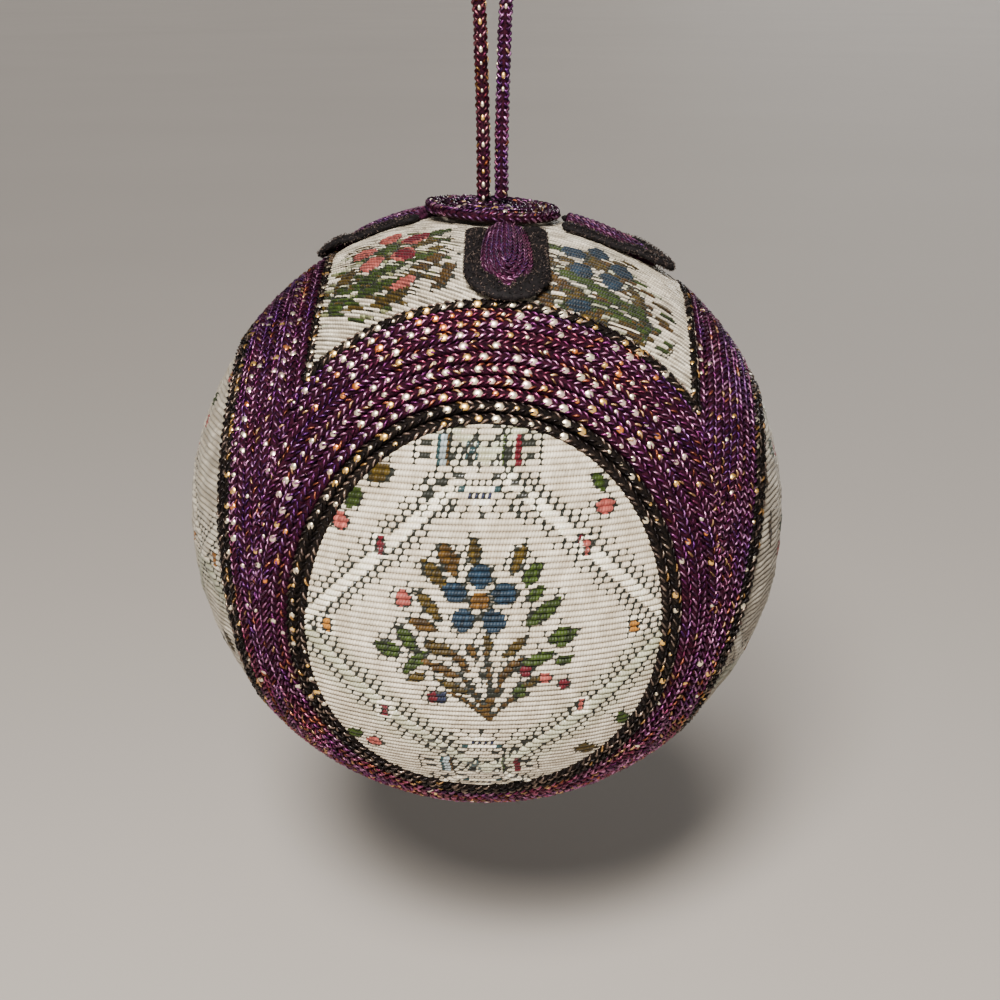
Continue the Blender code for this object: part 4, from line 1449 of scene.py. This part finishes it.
def make_end_cloths(finishes):
    """Cloth between the rings round the top and the bottom of the ball."""
    cloths = (finishes["brocade"], finishes["satin"])
    for label, pole in (("top", PATTERN @ UP), ("bottom", -UP)):
        rng = np.random.default_rng(700 if label == "top" else 701)
        chart = Chart(62, 80, rng)
        east = unit(np.cross(np.array([0.0, 1.0, 0.0]), pole) * (1.0 if label == "top" else -1.0))
        north = np.cross(pole, east)
        woven_v = chart.v
        rows = chart.rib + chart.half_ribs
        runs = (chart.float + chart.half_cells + 2 * rows) // 5
        # Painted shade: dark lines in the grooves between ribs, in runs
        chart.net = rng.uniform(0.25, 1.0, (124, 90))[rows, runs]
        chart.lift = chart.lift + rng.uniform(-0.05, 0.10, (124, 90))[rows, runs] * MM
        chart.tint = chart.tint * rng.uniform(0.88, 1.18, (124, 90))[rows, runs][..., None]
        # Painted shade on the lower third of every rib, in runs, put on after the flowers and leaves
        dark = rng.uniform(0.22, 0.75, (124, 90))[rows, runs]
        if label == "top":
            chart.v = chart.v + weft_bend(chart.u)
        weave_garden(chart, TOP_FLOWERS if label == "top" else BOTTOM_FLOWERS)
        chart.v = woven_v
        chart.tint = np.where((chart.third == 0)[..., None], chart.tint * dark[..., None], chart.tint)

        def towards(u, v):
            if label == "top":
                v = v + weft_bend(u)
            reach = np.hypot(u, v) / CLOTH_RADIUS
            turn = np.arctan2(v, u)
            heading = np.cos(turn)[..., None] * east + np.sin(turn)[..., None] * north
            return pole * np.cos(reach)[..., None] + heading * np.sin(reach)[..., None]

        def place(u, v):
            ways = towards(u, v)
            radius = np.full(u.shape, CLOTH_FACE)
            if label == "bottom":
                slope = np.maximum(-ways @ UP, 0.2)
                radius = np.minimum(radius, FLAT_DEPTH / slope)
            return BALL_CENTRE + ways * radius[..., None], ways

        def inside(u, v):
            ways = towards(u, v)
            least = np.full(u.shape, np.inf)
            for _, side in SIDES:
                least = np.minimum(least, outside_oval(ways @ PATTERN, side)[0] - RING_WIDTH)
            close = ways @ pole > math.cos(math.radians(WIDEST_CLOTH))
            return (least > -math.degrees(TUCK / CLOTH_RADIUS)) & close

        name = "brocade_" + label
        piece = weave_sheet(name, "cloth_" + label, chart, place, inside, cloths, 2.3)


def make_floor_and_lights():
    size = 40.0
    mesh = bpy.data.meshes.new("floor")
    cells = 24
    ticks = np.linspace(-size, size, cells + 1)
    x, y = np.meshgrid(ticks, ticks)
    z = np.full(x.shape, BALL_CENTRE[2] - 0.075)
    grid = np.arange(x.size).reshape(x.shape)
    quads = np.stack([grid[:-1, :-1], grid[:-1, 1:], grid[1:, 1:], grid[1:, :-1]], -1).reshape(-1, 4)
    mesh.from_pydata(np.stack([x, y, z], -1).reshape(-1, 3).tolist(), [], quads.tolist())
    finish = Finish("floor", Roughness=0.75, Specular_IOR_Level=0.25)
    tone = finish.noise(3.0, 5.0)
    finish.set("Base Color", finish.mix(tone, (0.43, 0.392, 0.357), (0.48, 0.44, 0.402)))
    mesh.materials.append(finish.material)
    floor = bpy.data.objects.new("floor", mesh)
    bpy.context.scene.collection.objects.link(floor)

    add_sun("key", (-0.10, -0.85, 0.90), 14.0, 2.6, (1.0, 0.97, 0.93))
    add_sun("behind", (0.25, 0.95, 0.12), 20.0, 0.9, (1.0, 0.98, 0.95))
    add_area("spark", (-0.05, -0.34, 0.16), 0.10, 3.4, (1.0, 0.96, 0.90))
    add_area("fill", (0.6, -0.5, 0.1), 0.5, 0.5, (0.95, 0.97, 1.0))
    world = bpy.data.worlds.new("soft_room")
    world.use_nodes = True
    world.node_tree.nodes["Background"].inputs[0].default_value = (0.62, 0.60, 0.58, 1.0)
    world.node_tree.nodes["Background"].inputs[1].default_value = 0.24
    bpy.context.scene.world = world


def add_sun(name, place, angle, power, colour):
    data = bpy.data.lights.new(name, "SUN")
    data.angle = math.radians(angle)
    data.energy = power
    data.color = colour
    light = bpy.data.objects.new(name, data)
    bpy.context.scene.collection.objects.link(light)
    light.location = place
    light.rotation_euler = look_angles(-np.array(place))


def add_area(name, place, size, power, colour):
    data = bpy.data.lights.new(name, "AREA")
    data.shape = "DISK"
    data.size = size
    data.energy = power
    data.color = colour
    light = bpy.data.objects.new(name, data)
    bpy.context.scene.collection.objects.link(light)
    light.location = place
    toward = BALL_CENTRE - np.array(place)
    light.rotation_euler = look_angles(toward)


def look_angles(way):
    """Rotation that turns a camera or light from looking down -Z to looking along a way."""
    flat = math.hypot(way[0], way[1])
    return (math.atan2(flat, -way[2]), 0.0, math.atan2(-way[0], way[1]))


def make_camera():
    data = bpy.data.cameras.new("camera")
    data.lens = CAMERA_LENS
    data.sensor_width = 36.0
    data.shift_x, data.shift_y = CAMERA_SHIFT
    data.clip_start = 0.01
    data.clip_end = 20.0
    camera = bpy.data.objects.new("camera", data)
    bpy.context.scene.collection.objects.link(camera)
    angle = math.radians(CAMERA_ANGLE)
    camera.location = BALL_CENTRE + CAMERA_DISTANCE * np.array([0.0, -math.cos(angle), math.sin(angle)])
    camera.rotation_euler = (math.pi / 2 - angle, 0.0, 0.0)
    bpy.context.scene.camera = camera


def make_finishes():
    return {
        "purple_thread": thread_finish("purple_thread", 0.9, 0.36, 0.16),
        "black_thread": thread_finish("black_thread", 0.75, 0.32, 0.16),
        "petal_thread": thread_finish("petal_thread", 0.5, 0.45, 0.12),
        # Dark cores: painted shade between the stitches
        "purple_core": core_finish("purple_core", srgb(47, 12, 28), srgb(20, 5, 13)),
        "petal_core": core_finish("petal_core", srgb(70, 30, 54), srgb(34, 12, 26)),
        "black_core": core_finish("black_core", srgb(28, 22, 18), srgb(10, 8, 8)),
        "foil": foil_finish("foil"),
        "brocade": brocade_finish("brocade", 0.28, 0.46),
        "satin": brocade_finish("brocade_satin", 0.9, 0.26),
        "fuzz": fuzz_finish("black_fuzz"),
        "padding": padding_finish("padding"),
    }


def main():
    make_camera()
    finishes = make_finishes()
    make_loop(finishes)
    make_rings(finishes)
    make_cap(finishes)
    make_petals(finishes)
    make_patches(finishes)
    make_end_cloths(finishes)
    ball = bpy.data.objects["ball"]
    ball.data.materials.clear()
    ball.data.materials.append(finishes["padding"])
    make_floor_and_lights()


main()
